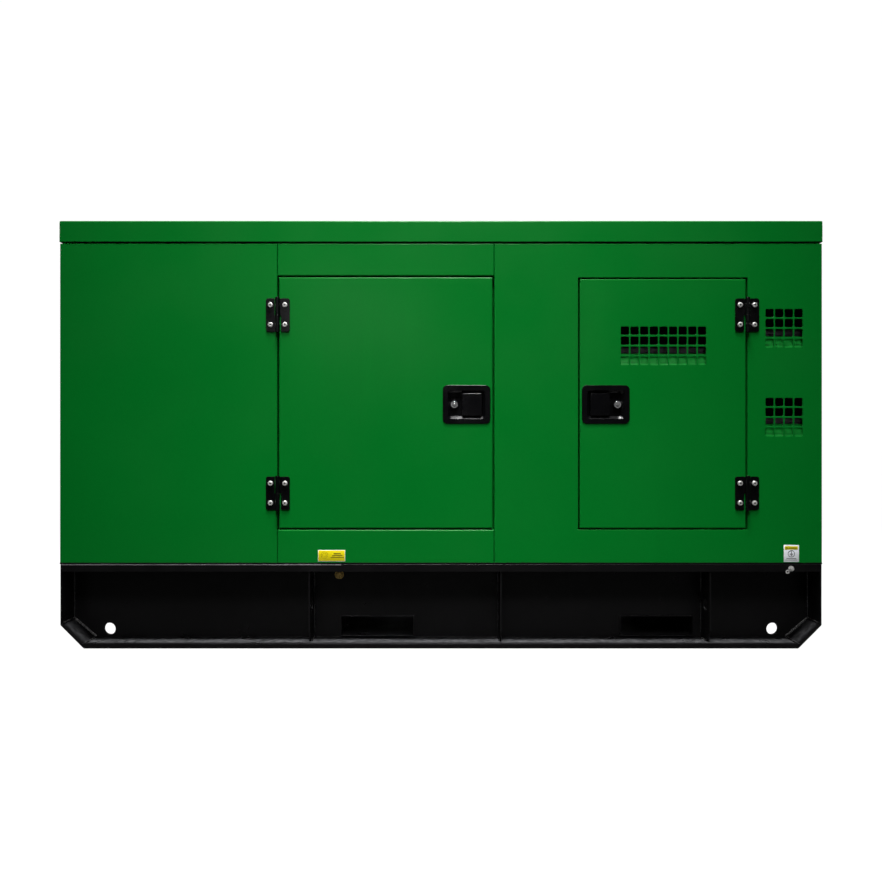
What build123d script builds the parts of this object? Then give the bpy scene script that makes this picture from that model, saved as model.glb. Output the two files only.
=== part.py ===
from build123d import *
import os
from collections import namedtuple
from math import cos, radians, sin

# Closed diesel generator set on a lifting skid. Millimetres, +Z up, origin at the centre of the
# footprint on the ground. +X points to the generator end, -Y to the side with the control door.

# Overall size
roof_length = 2300.0
roof_width = 980.0
overall_height = 1287.0
roof_underside = 1224.0
canopy_half_length = 1148.0
panel_y = 488.0
body_bottom = 253.0
body_top = 1219.0
sheet = 2.0
bend_radius = 3.0
panel_return = 33.0
seam = 1.0

# Skid rails
base_half_length = 1144.0
base_half_width = 492.0
rail_depth = 84.0
plate = 4.0
rail_bottom_flange = 14.0
rail_lip_height = 22.0
rail_lip_thickness = 3.0
rail_corner = 70.0
tow_hole_x = 1031.0
tow_hole_z = 40.0
tow_hole_radius = 18.75
tow_doubler_radius = 34.0
tow_doubler_thickness = 8.0

# Rail stiffeners
stiffener_x = (-397.0, 181.0, 811.0)
lashing_x = (-397.0, 811.0)
stiffener_thickness = 5.0
stiffener_foot_setback = 27.0
stiffener_foot_height = 38.0
lashing_radius = 18.0
lashing_z = 125.0

# Fork pockets
pocket_x = (-198.0, 670.0)
pocket_inner = (222.0, 58.0)
pocket_wall = 3.0
pocket_bottom = 18.0
pocket_stand_out = 4.0

# Cross members
member_x = (-900.0, -630.0, -380.0, 80.0, 480.0, 680.0, 880.0)
member_width = 60.0
member_bottom = 183.0
member_top = 249.0
end_member_x = 1120.0
end_member_width = 40.0
battery_shelf = ((636.0, 190.0), (904.0, 384.0))
battery_shelf_thickness = 3.0

# Fuel tank in the skid
tank_low = (-520.0, -400.0, 83.0)
tank_high = (900.0, 400.0, 178.0)
tank_corner = 20.0
tank_sheet = 2.5
neck_position = (780.0, -370.0)
neck_radius = 30.0
neck_bore = 24.0
neck_top = 420.0
cap_radius = 38.0
cap_height = 20.0
cap_gap = 0.2
cap_grip = (70.0, 12.0, 10.0)
cap_edge = 3.0

# Drain plug and earthing stud on the front rail
drain_x = -316.0
drain_z = 209.0
drain_radius = 10.0
drain_head = 8.0
drain_washer_radius = 14.0
drain_washer = 2.0
earth_x = 1052.0
earth_z = 240.0
earth_stud_radius = 4.0
earth_stud_out = 11.5
earth_washer_radius = 9.0
earth_washer = 1.5
earth_nut_radius = 7.5
earth_nut = 5.0

# Long walls, measured along the wall and up
generator_panel_edge = 160.5
header_bottom = 1121.5
sill_top = 356.5
ledge_behind = 20.0
ledge_width = 12.0
control_opening_bottom = 356.5
control_opening_top = 1116.5
door_gap = 5.5

# Doors: u runs along the wall seen from outside, toward is the way from hinge to free edge
Door = namedtuple("Door", "name side u_low u_high z_low z_high toward vented")
doors = (
    Door("front_engine", 1, -488.0, 155.0, 361.0, 1117.0, 1, False),
    Door("front_control", 1, 418.0, 918.0, 361.0, 1112.0, -1, True),
    Door("rear_engine", -1, -155.0, 488.0, 361.0, 1117.0, -1, False),
)
door_depth = 30.0
seal_width = 10.0
seal_thickness = 2.5

# Square vents
vent_hole = 25.0
vent_corner = 4.0
vent_pitch_u = 29.0
vent_pitch_z = 30.1
door_vent = (670.0, 911.0)
door_vent_grid = (9, 4)
panel_vents = ((1033.0, 964.0), (1033.0, 696.0))
panel_vent_grid = (4, 4)
hood_margin = 8.0
hood_side_margin = 23.0
hood_sheet = 1.5
hood_depth = 58.0
hood_slope_drop = 3.0

# Lift-off hinges
hinge_heights = (467.0, 1003.0)
hinge_height = 100.0
hinge_half_width = 36.0
leaf_thickness = 3.5
leaf_corner = 7.0
leaf_clear = 9.5
leaf_joint_gap = 1.0
knuckle_radius = 6.8
knuckle_stand_off = 1.5
knuckle_half = 52.5
knuckle_gap = 0.3
pin_radius = 4.0
pin_clearance = 0.05
pin_rise = 42.0
pin_bore_rise = 46.0
screw_pitch_u = 43.3
screw_pitch_z = 59.2
screw_head_radius = 7.8
screw_head = 5.0
screw_dome = 3.0
screw_socket_radius = 3.2
screw_socket_depth = 3.0
screw_shank_end = 10.0

# Paddle latch, measured from its centre, positive towards the free edge of the door
latch_height = 734.0
latch_from_edge = 78.0
flange_size = (144.0, 116.0)
flange_corner = 15.0
flange_thickness = 2.5
flange_edge = 1.0
recess_size = (113.0, 86.0)
recess_corner = 10.0
recess_draft = 8.0
recess_floor_corner = 3.0
recess_depth = 20.0
paddle_ends = (-13.0, 46.0)
paddle_height = 67.0
paddle_corner = 6.0
paddle_outer = -1.0
paddle_thickness = 4.0
paddle_edge = 1.2
paddle_cheek = 3.0
paddle_cheek_depth = 9.0
paddle_cheek_start = 32.0
paddle_cheek_inset = 3.0
pivot_offset = 42.0
pivot_inset = 5.0
pivot_radius = 2.5
pivot_half_length = 42.0
lock_offset = -37.0
boss_radius = 13.0
boss_outer = 6.0
cylinder_radius = 10.0
running_clearance = 0.05
cylinder_outer = 3.5
keyway = (2.4, 9.0, 4.0)
crank_radius = 15.0
crank_inset = (22.2, 24.2)
crank_pin_radius = 2.5
crank_throw = 11.3
crank_pin_end = 28.4
bolt_inset = (24.5, 28.0)
bolt_half_height = 10.0
bolt_nose = 75.0
bolt_tail = -52.0
yoke_end = -30.0
yoke_top = 20.0
yoke_slot = (6.2, 11.0)
yoke_slot_height = 9.65
guide_offset = (28.0, 40.0)
guide_clearance = 0.4
guide_wall = 5.0
strap_inset = (28.4, 29.6)
strike_clearance = 1.0

# End walls
end_panel_half_width = 454.0
inlet_vents = ((-215.0, 760.0), (215.0, 760.0))
inlet_grid = (11, 16)
cable_outlet = (300.0, 62.0)
cable_outlet_z = 318.0
cable_outlet_corner = 20.0

# Roof
roof_sheet = 2.5
roof_lip = 30.0
roof_corner = 5.0
roof_edge = 4.5
gasket_inset = 15.0
gasket_width = 12.0
discharge_centre = (-905.0, 0.0)
discharge_size = (350.0, 760.0)
discharge_corner = 15.0
grille_rim = 14.0
grille_thickness = 5.0
slot_size = (66.0, 16.0)
slot_pitch = (78.0, 26.0)
slot_grid = (4, 28)

# Engine
shaft_z = 520.0
block_low = (-420.0, -130.0, 430.0)
block_high = (20.0, 130.0, 760.0)
sump_low = (-400.0, -100.0, 330.0)
sump_high = (10.0, 100.0, 440.0)
sump_chamfer = 25.0
head_low = (-410.0, -110.0, 755.0)
head_high = (10.0, 110.0, 850.0)
timing_low = (-450.0, -118.0, 400.0)
timing_high = (-415.0, 118.0, 752.0)
timing_corner = 40.0
intake_low = (-370.0, -165.0, 780.0)
intake_high = (-40.0, -105.0, 830.0)
crankcase_low = (-400.0, -88.0, 355.0)
crankcase_high = (0.0, 88.0, 740.0)
bell_start = 20.0
bell_end = 130.0
bell_radius = 210.0
bell_cavity = 190.0
bell_wall = 10.0
bell_edge = 12.0
foot_thickness = 14.0
foot_reach = 240.0
foot_width = 60.0
foot_bottom = 299.0
foot_post = (118.0, 132.0)
foot_post_top = 500.0
bell_foot = (130.0, 205.0, 430.0)
filter_centre = (-250.0, -165.0, 560.0)
filter_radius = 42.0
filter_length = 110.0
starter_centre = (-55.0, 178.0, 470.0)
starter_radius = 48.0
starter_length = 150.0
cover_low = (-395.0, -70.0, 850.0)
cover_high = (-5.0, 70.0, 915.0)
cover_fillet = 16.0
oil_cap_radius = 24.0
oil_cap_height = 18.0
oil_cap_x = -330.0

# Rotating line and belt drive
shaft_radius = 30.0
pulley_x = (-480.0, -457.0)
crank_pulley_radius = 72.0
flywheel_x = (40.0, 75.0)
flywheel_radius = 180.0
rotor_x = (180.0, 440.0)
rotor_radius = 108.0
rotor_pole_gap = (30.0, 36.0)
rotor_poles = 4
tail_radius = 20.0
tail_end = 566.0
belt_groove = 5.0
fan_z = 662.0
fan_x = -540.0
fan_hub_radius = 62.0
fan_hub_length = 40.0
fan_tip_radius = 222.0
blade_count = 7
blade_width = 92.0
blade_thickness = 4.0
blade_pitch = 32.0
fan_shaft_radius = 16.0
fan_shaft_end = -430.0
fan_pulley_radius = 60.0
charger_y = -200.0
charger_z = 640.0
charger_x = (-440.0, -300.0)
charger_radius = 62.0
charger_edge = 14.0
charger_bracket = ((-420.0, -155.0, 600.0), (-320.0, -130.0, 680.0))
charger_shaft_radius = 8.0
charger_pulley_radius = 33.0
charger_bore_depth = 30.0

# Generator
generator_x = (130.0, 560.0)
generator_radius = 175.0
generator_cavity = 155.0
generator_wall = 15.0
generator_rib_count = 24
generator_rib = (6.0, 10.0)
rib_span = (165.0, 430.0)
generator_foot = (450.0, 510.0, 85.0, 200.0, 400.0)
terminal_low = (240.0, -140.0, 680.0)
terminal_high = (490.0, 140.0, 815.0)
terminal_sheet = 2.5
terminal_floor = 720.0
terminal_floor_gap = 10.0
gland_radius = 22.0
mount_points = ((-380.0, 200.0), (80.0, 200.0), (480.0, 170.0))
mount_radius = 32.0
mount_plate = 4.0
mount_waist = 5.0

# Radiator, shroud and bulkhead
core_low = (-652.0, -290.0, 370.0)
core_high = (-610.0, 290.0, 880.0)
header_over = 5.0
header_height = 55.0
header_fillet = 12.0
radiator_leg = (250.0, 40.0)
filler_radius = 28.0
filler_height = 30.0
bulkhead_x = (-692.0, -688.0)
bulkhead_half_width = 453.0
bulkhead_top = 1215.0
bulkhead_opening = (560.0, 510.0)
pipe_hole = 48.0
shroud_x = (-603.0, -572.0, -522.0)
shroud_half = (284.0, 250.0)
shroud_sheet = 3.0
shroud_hole = 232.0

# Intake and exhaust
cleaner_x = (-270.0, 60.0)
cleaner_y = -60.0
cleaner_z = 1060.0
cleaner_radius = 85.0
cleaner_rib = 4.0
cleaner_cap_length = 60.0
cleaner_edge = 10.0
cleaner_bracket = ((-20.0, -100.0, 850.0), (-12.0, -80.0, 1000.0))
hose_radius = 26.0
hose_bend = 35.0
hose_path = ((-200.0, -137.0, 830.0), (-200.0, -137.0, 930.0), (-200.0, -75.0, 1010.0))
manifold_low = (-380.0, 110.0, 785.0)
manifold_high = (-40.0, 160.0, 832.0)
pipe_radius = 30.0
pipe_bend = 70.0
pipe_path = (
    (-200.0, 150.0, 808.0),
    (-200.0, 245.0, 808.0),
    (-200.0, 245.0, 1010.0),
    (-900.0, 245.0, 1010.0),
    (-900.0, 245.0, 650.0),
)
silencer_centre = (-900.0, 0.0, 600.0)
silencer_radius = 120.0
silencer_half_length = 340.0
silencer_sheet = 3.0
manifold_edge = 9.0
silencer_leg = (8.0, 60.0)
silencer_leg_y = 210.0
silencer_leg_top = 482.0
outlet_y = -200.0
outlet_top = 1195.0

# Battery
battery_low = (650.0, 202.0, 252.0)
battery_high = (890.0, 372.0, 440.0)
battery_edge = 5.0
battery_lid = 14.0
post_radius = 9.0
post_height = 14.0
post_inset = 35.0

# Control cabinet
cabinet_low = (440.0, -405.0, 540.0)
cabinet_high = (900.0, -235.0, 1095.0)
cabinet_edge = 6.0
cabinet_sheet = 2.5
cabinet_post_lap = 40.0
fascia_low = (465.0, -409.0, 800.0)
fascia_high = (875.0, -405.0, 1070.0)
display_size = (150.0, 95.0)
display_centre = (600.0, 955.0)
display_depth = 2.0
cabinet_post_x = (470.0, 880.0)
cabinet_post = (26.0, 22.0)
stop_position = (820.0, 755.0)
stop_radius = 20.0
stop_head = 16.0
stop_gap = 8.0
stop_stem_radius = 8.0
stop_stem_depth = 30.0
stop_edge = 5.0
stop_collar_radius = 26.0
stop_collar = 4.0
key_position = (720.0, 755.0)
key_radius = 12.0
key_out = 6.0
key_depth = 25.0
key_end_play = 1.0
key_blade = (3.0, 16.0, 18.0)
breaker_centre = (560.0, 690.0)
breaker_size = (110.0, 150.0)
breaker_out = 22.0
lever_slot = (26.0, 70.0)
lever_slot_depth = 40.0
lever_barrel_radius = 16.0
lever_pivot_inset = 8.0
lever_end_play = 1.0
lever_width = 22.0
lever_length = 42.0
lever_thickness = 12.0
lever_pin_radius = 3.0


def save(builder, label):
    """Label a finished piece and write it."""
    builder.part.label = label
    export_step(builder.part, f"parts/{label}.step")


def block(low, high, mode=Mode.ADD):
    """Rectangular block between two opposite corners."""
    centre = tuple((a + b) / 2 for a, b in zip(low, high))
    size = tuple(abs(b - a) for a, b in zip(low, high))
    with Locations(centre):
        Box(*size, mode=mode)


def wall_y(side, inset):
    """Y of a plane a given depth inside a long wall."""
    return -side * (panel_y - inset)


def wall_plane(side, inset, u=0.0, z=0.0):
    """Plane parallel to a long wall, normal outward, local x along the wall, local y up."""
    origin = (side * u, wall_y(side, inset), z)
    return Plane(origin=origin, x_dir=(side, 0, 0), z_dir=(0, -side, 0))


def section_plane(side, u):
    """Vertical plane across a long wall: local x runs inward, local y up."""
    return Plane(origin=(side * u, 0, 0), x_dir=(0, side, 0), z_dir=(side, 0, 0))


def wall_block(side, u, z, inset, mode=Mode.ADD):
    """Block on a long wall from its spans along u, up z and through the depth."""
    outer = (side * u[0], wall_y(side, inset[0]), z[0])
    inner = (side * u[1], wall_y(side, inset[1]), z[1])
    block(outer, inner, mode)


def wall_ring(side, u, z, inset, width):
    """Rectangular ring on a long wall, width measured inward from its outline."""
    with BuildSketch(wall_plane(side, inset[1])) as ring:
        with Locations(((u[0] + u[1]) / 2, (z[0] + z[1]) / 2)):
            Rectangle(u[1] - u[0], z[1] - z[0])
            Rectangle(u[1] - u[0] - 2 * width, z[1] - z[0] - 2 * width, mode=Mode.SUBTRACT)
    extrude(ring.sketch, amount=inset[1] - inset[0])


def tray(side, u, z, depth):
    """Folded sheet tray: a face with four returns, bent edges rounded."""
    wall_block(side, u, z, (0, depth))
    outer = faces(Select.LAST).sort_by(Axis.Y)[0 if side == 1 else -1]
    fillet(outer.edges(), radius=bend_radius)
    inner_u = (u[0] + sheet, u[1] - sheet)
    wall_block(side, inner_u, (z[0] + sheet, z[1] - sheet), (sheet, depth), Mode.SUBTRACT)


def cut_vents(side, centre, grid):
    """Field of rounded square holes through the face sheet."""
    with BuildSketch(wall_plane(side, sheet)) as holes:
        with Locations(centre):
            with GridLocations(vent_pitch_u, vent_pitch_z, *grid):
                RectangleRounded(vent_hole, vent_hole, vent_corner)
    extrude(holes.sketch, amount=sheet, mode=Mode.SUBTRACT)


def vent_hood(side, centre, grid):
    """Scoop behind a vent: a floor rising inward between two cheeks, open at the top."""
    half_width = grid[0] * vent_pitch_u / 2 + hood_side_margin
    half_height = grid[1] * vent_pitch_z / 2 + hood_margin
    low = centre[1] - half_height
    middle = centre[1]
    high = centre[1] + half_height
    front = sheet - panel_y
    back = front + hood_depth
    section = section_plane(side, centre[0])
    with BuildSketch(section) as outer:
        with BuildLine():
            Polyline((front, low), (back, middle), (back, high), (front, high), close=True)
        make_face()
    extrude(outer.sketch, amount=half_width, both=True)
    lift = hood_slope_drop
    with BuildSketch(section) as inner:
        with BuildLine():
            Polyline(
                (front, low + lift),
                (back, middle + lift),
                (back, high),
                (front, high),
                close=True,
            )
        make_face()
    extrude(inner.sketch, amount=half_width - hood_sheet, both=True, mode=Mode.SUBTRACT)


def hinge_axis_u(door):
    """Hinge line position: the middle of the gap beside the door."""
    edge = door.u_low if door.toward == 1 else door.u_high
    return edge - door.toward * door_gap / 2


def free_edge_u(door):
    return door.u_high if door.toward == 1 else door.u_low


def latch_u(door):
    return free_edge_u(door) - door.toward * latch_from_edge


def latch_span(door, start, end):
    """Span along the wall from offsets measured towards the free edge."""
    pair = (latch_u(door) + door.toward * start, latch_u(door) + door.toward * end)
    return (min(pair), max(pair))


def hinge_holes(door, direction, inset, depth):
    """Two screw holes per hinge on one side of its pin line."""
    with BuildSketch(wall_plane(door.side, inset)) as holes:
        for height in hinge_heights:
            with Locations((hinge_axis_u(door) + direction * screw_pitch_u / 2, height)):
                with GridLocations(screw_pitch_u, screw_pitch_z, 1, 2):
                    Circle(pin_radius)
    extrude(holes.sketch, amount=depth, mode=Mode.SUBTRACT)


def strike_slot(door):
    """Slot in the jamb that the lock bolt is thrown into."""
    start = latch_from_edge + door_gap
    z = (
        latch_height - bolt_half_height - strike_clearance,
        latch_height + bolt_half_height + strike_clearance,
    )
    inset = (bolt_inset[0] - strike_clearance, bolt_inset[1] + strike_clearance)
    wall_block(door.side, latch_span(door, start, start + sheet), z, inset, Mode.SUBTRACT)


def knuckle(door, height, low, high, direction):
    """Half of a hinge barrel with the web that ties it to its leaf."""
    axis = hinge_axis_u(door)
    barrel_inset = -(knuckle_stand_off + knuckle_radius)
    with Locations((door.side * axis, wall_y(door.side, barrel_inset), height + (low + high) / 2)):
        Cylinder(knuckle_radius, high - low)
    web_low = max(low, leaf_joint_gap - hinge_height / 2)
    web_high = min(high, hinge_height / 2 - leaf_joint_gap)
    web = (axis, axis + direction * leaf_clear)
    web = (min(web), max(web))
    wall_block(door.side, web, (height + web_low, height + web_high), (-leaf_thickness, 0))


def leaf(door, height, direction):
    """Flat hinge leaf with rounded outer corners."""
    axis = hinge_axis_u(door)
    width = hinge_half_width - leaf_clear
    centre = axis + direction * (leaf_clear + width / 2)
    with BuildSketch(wall_plane(door.side, 0)) as outline:
        with Locations((centre, height)):
            RectangleRounded(width, hinge_height, leaf_corner)
        square = centre - direction * width / 4
        with Locations((square, height)):
            Rectangle(width / 2, hinge_height)
    extrude(outline.sketch, amount=leaf_thickness)


def screws(door, direction):
    """Dome-head socket screws through one leaf of each hinge of a door."""
    centre = hinge_axis_u(door) + direction * screw_pitch_u / 2
    spots = [
        (centre, height + step)
        for height in hinge_heights
        for step in (-screw_pitch_z / 2, screw_pitch_z / 2)
    ]
    for spot in spots:
        with BuildSketch(wall_plane(door.side, -leaf_thickness)) as head:
            with Locations(spot):
                Circle(screw_head_radius)
        extrude(head.sketch, amount=screw_head)
        crown = faces(Select.LAST).sort_by(Axis.Y)[0 if door.side == 1 else -1]
        fillet(crown.edges(), radius=screw_dome)
        with BuildSketch(wall_plane(door.side, -leaf_thickness - screw_head)) as socket:
            with Locations(spot):
                RegularPolygon(screw_socket_radius, side_count=6)
        extrude(socket.sketch, amount=-screw_socket_depth, mode=Mode.SUBTRACT)
        with BuildSketch(wall_plane(door.side, screw_shank_end)) as shank:
            with Locations(spot):
                Circle(pin_radius)
        extrude(shank.sketch, amount=screw_shank_end + leaf_thickness)


def upright_cylinder(x, y, z_low, z_high, radius, mode=Mode.ADD):
    with Locations((x, y, (z_low + z_high) / 2)):
        Cylinder(radius, z_high - z_low, mode=mode)


def shaft(x_low, x_high, y, z, radius, mode=Mode.ADD):
    """Round bar along X."""
    with Locations(((x_low + x_high) / 2, y, z)):
        Cylinder(radius, x_high - x_low, rotation=(0, 90, 0), mode=mode)


def pulley(y, z, radius):
    """Belt pulley with a V groove round its rim."""
    shaft(*pulley_x, y, z, radius)
    middle = (pulley_x[0] + pulley_x[1]) / 2
    groove = Plane(origin=(middle, y, z), x_dir=(1, 0, 0), z_dir=(0, 1, 0))
    with BuildSketch(groove) as vee:
        with BuildLine():
            Polyline(
                (-belt_groove, radius),
                (belt_groove, radius),
                (belt_groove / 2, radius - 2 * belt_groove),
                (-belt_groove / 2, radius - 2 * belt_groove),
                close=True,
            )
        make_face()
    revolve(vee.sketch, axis=Axis((0, y, z), (1, 0, 0)), mode=Mode.SUBTRACT)


def tube_along(points, radius, bend):
    """Round tube or hose swept along a path with rounded bends."""
    with BuildLine() as route:
        FilletPolyline(*points, radius=bend)
    path = route.wire()
    with BuildSketch(Plane(origin=path @ 0, z_dir=path % 0)) as section:
        Circle(radius)
    sweep(section.sketch, path=path)


os.makedirs("parts", exist_ok=True)

# --- Skid -------------------------------------------------------------------------------------

# Two rails: outward-facing channels with cut-back lower corners, joined by nothing but the
# cross members. The lip along the top flange hangs down over the channel.
rail_web_y = base_half_width - rail_depth
with BuildPart() as side_rails:
    with BuildSketch(Plane(origin=(0, -rail_web_y, 0), x_dir=(1, 0, 0), z_dir=(0, -1, 0))):
        with BuildLine():
            Polyline(
                (-base_half_length, body_bottom),
                (base_half_length, body_bottom),
                (base_half_length, rail_corner),
                (base_half_length - rail_corner, 0),
                (rail_corner - base_half_length, 0),
                (-base_half_length, rail_corner),
                close=True,
            )
        make_face()
    extrude(amount=rail_depth)
    # The end plate, the sloping plate and the flanges stay around this hollow.
    inner_x = base_half_length - plate
    slope_z = rail_corner + plate * (sin(radians(45)) / cos(radians(45)))
    slope_x = inner_x - (slope_z - rail_bottom_flange)
    web_face = rail_web_y + plate
    with BuildSketch(Plane(origin=(0, -web_face, 0), x_dir=(1, 0, 0), z_dir=(0, -1, 0))):
        with BuildLine():
            Polyline(
                (-inner_x, body_bottom - plate),
                (inner_x, body_bottom - plate),
                (inner_x, slope_z),
                (slope_x, rail_bottom_flange),
                (-slope_x, rail_bottom_flange),
                (-inner_x, slope_z),
                close=True,
            )
        make_face()
    extrude(amount=rail_depth - plate, mode=Mode.SUBTRACT)
    block(
        (-inner_x, -base_half_width, body_bottom - rail_lip_height),
        (inner_x, rail_lip_thickness - base_half_width, body_bottom - plate),
    )
    # Fork pocket openings and reinforced tow holes through the web.
    pocket_outer = (pocket_inner[0] + 2 * pocket_wall, pocket_inner[1] + 2 * pocket_wall)
    pocket_middle = pocket_bottom + pocket_outer[1] / 2
    for x in pocket_x:
        with Locations((x, -rail_web_y - plate / 2, pocket_middle)):
            Box(pocket_outer[0], plate, pocket_outer[1], mode=Mode.SUBTRACT)
    doubler_y = tow_doubler_thickness / 2 - rail_web_y
    for x in (-tow_hole_x, tow_hole_x):
        with Locations((x, doubler_y, tow_hole_z)):
            Cylinder(tow_doubler_radius, tow_doubler_thickness, rotation=(90, 0, 0))
        with Locations((x, -rail_web_y, tow_hole_z)):
            Cylinder(tow_hole_radius, rail_depth / 2, rotation=(90, 0, 0), mode=Mode.SUBTRACT)
    mirror(about=Plane.XZ)
save(side_rails, "side_rails")

# Upright plates welded across each channel; the outer two carry a lashing eye.
with BuildPart() as rail_stiffeners:
    front_edge = base_half_width - rail_lip_thickness
    for x in stiffener_x:
        upright = Plane(origin=(x, 0, 0), x_dir=(0, 1, 0), z_dir=(1, 0, 0))
        with BuildSketch(upright):
            with BuildLine():
                Polyline(
                    (-web_face, rail_bottom_flange),
                    (stiffener_foot_setback - front_edge, rail_bottom_flange),
                    (-front_edge, rail_bottom_flange + stiffener_foot_height),
                    (-front_edge, body_bottom - plate),
                    (-web_face, body_bottom - plate),
                    close=True,
                )
            make_face()
            if x in lashing_x:
                with Locations((-(front_edge + web_face) / 2, lashing_z)):
                    Circle(lashing_radius, mode=Mode.SUBTRACT)
        extrude(amount=stiffener_thickness / 2, both=True)
    mirror(about=Plane.XZ)
save(rail_stiffeners, "rail_stiffeners")

# Box-section beams between the rails, open underneath, and the battery shelf on two of them.
with BuildPart() as cross_members:
    for x in member_x:
        half = member_width / 2
        block((x - half, -rail_web_y, member_bottom), (x + half, rail_web_y, member_top))
        block(
            (x - half + plate, -rail_web_y, member_bottom),
            (x + half - plate, rail_web_y, member_top - plate),
            Mode.SUBTRACT,
        )
    for x in (-end_member_x, end_member_x):
        half = end_member_width / 2
        block((x - half, -rail_web_y, member_bottom), (x + half, rail_web_y, body_bottom))
        block(
            (x - half + plate, -rail_web_y, member_bottom),
            (x + half - plate, rail_web_y, body_bottom - plate),
            Mode.SUBTRACT,
        )
    block(
        (*battery_shelf[0], member_top),
        (*battery_shelf[1], member_top + battery_shelf_thickness),
    )
save(cross_members, "cross_members")

# Two rectangular tubes right across the skid.
with BuildPart() as fork_pockets:
    pocket_length = 2 * (web_face + pocket_stand_out)
    for x in pocket_x:
        with Locations((x, 0, pocket_middle)):
            Box(pocket_outer[0], pocket_length, pocket_outer[1])
            Box(pocket_inner[0], pocket_length, pocket_inner[1], mode=Mode.SUBTRACT)
save(fork_pockets, "fork_pockets")

with BuildPart() as fuel_tank:
    block(tank_low, tank_high)
    fillet(edges().filter_by(Axis.Z), radius=tank_corner)
    block(
        tuple(low + tank_sheet for low in tank_low),
        tuple(high - tank_sheet for high in tank_high),
        Mode.SUBTRACT,
    )
    upright_cylinder(*neck_position, tank_high[2] - tank_sheet, neck_top, neck_radius)
    neck_foot = tank_high[2] - 2 * tank_sheet
    upright_cylinder(*neck_position, neck_foot, neck_top, neck_bore, Mode.SUBTRACT)
save(fuel_tank, "fuel_tank")

with BuildPart() as fuel_cap:
    cap_low = neck_top + cap_gap
    upright_cylinder(*neck_position, cap_low, cap_low + cap_height, cap_radius)
    fillet(faces().sort_by(Axis.Z)[-1].edges(), radius=cap_edge)
    with Locations((*neck_position, cap_low + cap_height + cap_grip[2] / 2)):
        Box(*cap_grip)
    fillet(faces().sort_by(Axis.Z)[-1].edges(), radius=cap_edge / 2)
save(fuel_cap, "fuel_cap")

with BuildPart() as oil_drain_plug:
    drain_plane = Plane(origin=(drain_x, -web_face, drain_z), x_dir=(1, 0, 0), z_dir=(0, -1, 0))
    with BuildSketch(drain_plane):
        Circle(drain_washer_radius)
    extrude(amount=drain_washer)
    with BuildSketch(drain_plane.offset(drain_washer)):
        RegularPolygon(drain_radius, side_count=6)
    extrude(amount=drain_head)
    chamfer(faces().sort_by(Axis.Y)[0].edges(), length=drain_washer / 2)
save(oil_drain_plug, "oil_drain_plug")

with BuildPart() as earth_stud:
    earth_plane = Plane(
        origin=(earth_x, -base_half_width, earth_z), x_dir=(1, 0, 0), z_dir=(0, -1, 0)
    )
    with BuildSketch(earth_plane):
        Circle(earth_washer_radius)
    extrude(amount=earth_washer)
    with BuildSketch(earth_plane.offset(earth_washer)):
        RegularPolygon(earth_nut_radius, side_count=6)
    extrude(amount=earth_nut)
    with BuildSketch(earth_plane):
        Circle(earth_stud_radius)
    extrude(amount=earth_stud_out)
save(earth_stud, "earth_stud")

# --- Canopy walls -----------------------------------------------------------------------------

front_engine, front_control, rear_engine = doors
wall_z = (body_bottom, body_top)


def radiator_side_panel(door, label):
    """Plain wall panel beside the radiator; carries the hinges of the engine door."""
    edge = hinge_axis_u(door) - door.toward * door_gap / 2
    u = sorted((edge, -door.toward * canopy_half_length))
    with BuildPart() as panel:
        tray(door.side, u, wall_z, panel_return)
        hinge_holes(door, -door.toward, sheet, sheet)
    save(panel, label)


def centre_frame(door, label):
    """Header and sill above and below the engine door, tied by the ledge the seal sits on."""
    u = sorted((door.u_low - door_gap + seam, door.u_high + door_gap - seam))
    with BuildPart() as frame:
        tray(door.side, u, (header_bottom, body_top), panel_return)
        tray(door.side, u, (body_bottom, sill_top), panel_return)
        ledge_u = (u[0] - ledge_behind, u[1] + ledge_behind)
        ledge_z = (sill_top - ledge_behind, header_bottom + ledge_behind)
        inner_u = (door.u_low + ledge_width, door.u_high - ledge_width)
        inner_z = (door.z_low + ledge_width, door.z_high - ledge_width)
        inset = (panel_return, panel_return + sheet)
        wall_block(door.side, ledge_u, ledge_z, inset)
        wall_block(door.side, inner_u, inner_z, inset, Mode.SUBTRACT)
    save(frame, label)


radiator_side_panel(front_engine, "front_radiator_panel")
centre_frame(front_engine, "front_centre_frame")
radiator_side_panel(rear_engine, "rear_radiator_panel")
centre_frame(rear_engine, "rear_centre_frame")

# Front panel of the generator end: one tray with the control door opening and two vents.
with BuildPart() as front_generator_panel:
    tray(1, (generator_panel_edge, canopy_half_length), wall_z, panel_return)
    opening_u = (front_control.u_low - door_gap, front_control.u_high + door_gap)
    opening_z = (control_opening_bottom, control_opening_top)
    wall_block(1, opening_u, opening_z, (0, sheet), Mode.SUBTRACT)
    jamb_u = (opening_u[0] - sheet, opening_u[1] + sheet)
    jamb_z = (opening_z[0] - sheet, opening_z[1] + sheet)
    wall_ring(1, jamb_u, jamb_z, (sheet, panel_return + sheet), sheet)
    ledge_ring = door_gap + ledge_width + sheet
    wall_ring(1, jamb_u, jamb_z, (panel_return, panel_return + sheet), ledge_ring)
    for centre in panel_vents:
        cut_vents(1, centre, panel_vent_grid)
    hinge_holes(front_control, -front_control.toward, sheet, sheet)
    strike_slot(front_engine)
    strike_slot(front_control)
save(front_generator_panel, "front_generator_panel")

with BuildPart() as rear_generator_panel:
    tray(-1, (-canopy_half_length, -generator_panel_edge), wall_z, panel_return)
    for centre in panel_vents:
        cut_vents(-1, (-centre[0], centre[1]), panel_vent_grid)
    strike_slot(rear_engine)
save(rear_generator_panel, "rear_generator_panel")

with BuildPart() as panel_vent_hoods:
    for centre in panel_vents:
        vent_hood(1, centre, panel_vent_grid)
        vent_hood(-1, (-centre[0], centre[1]), panel_vent_grid)
save(panel_vent_hoods, "panel_vent_hoods")


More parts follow.
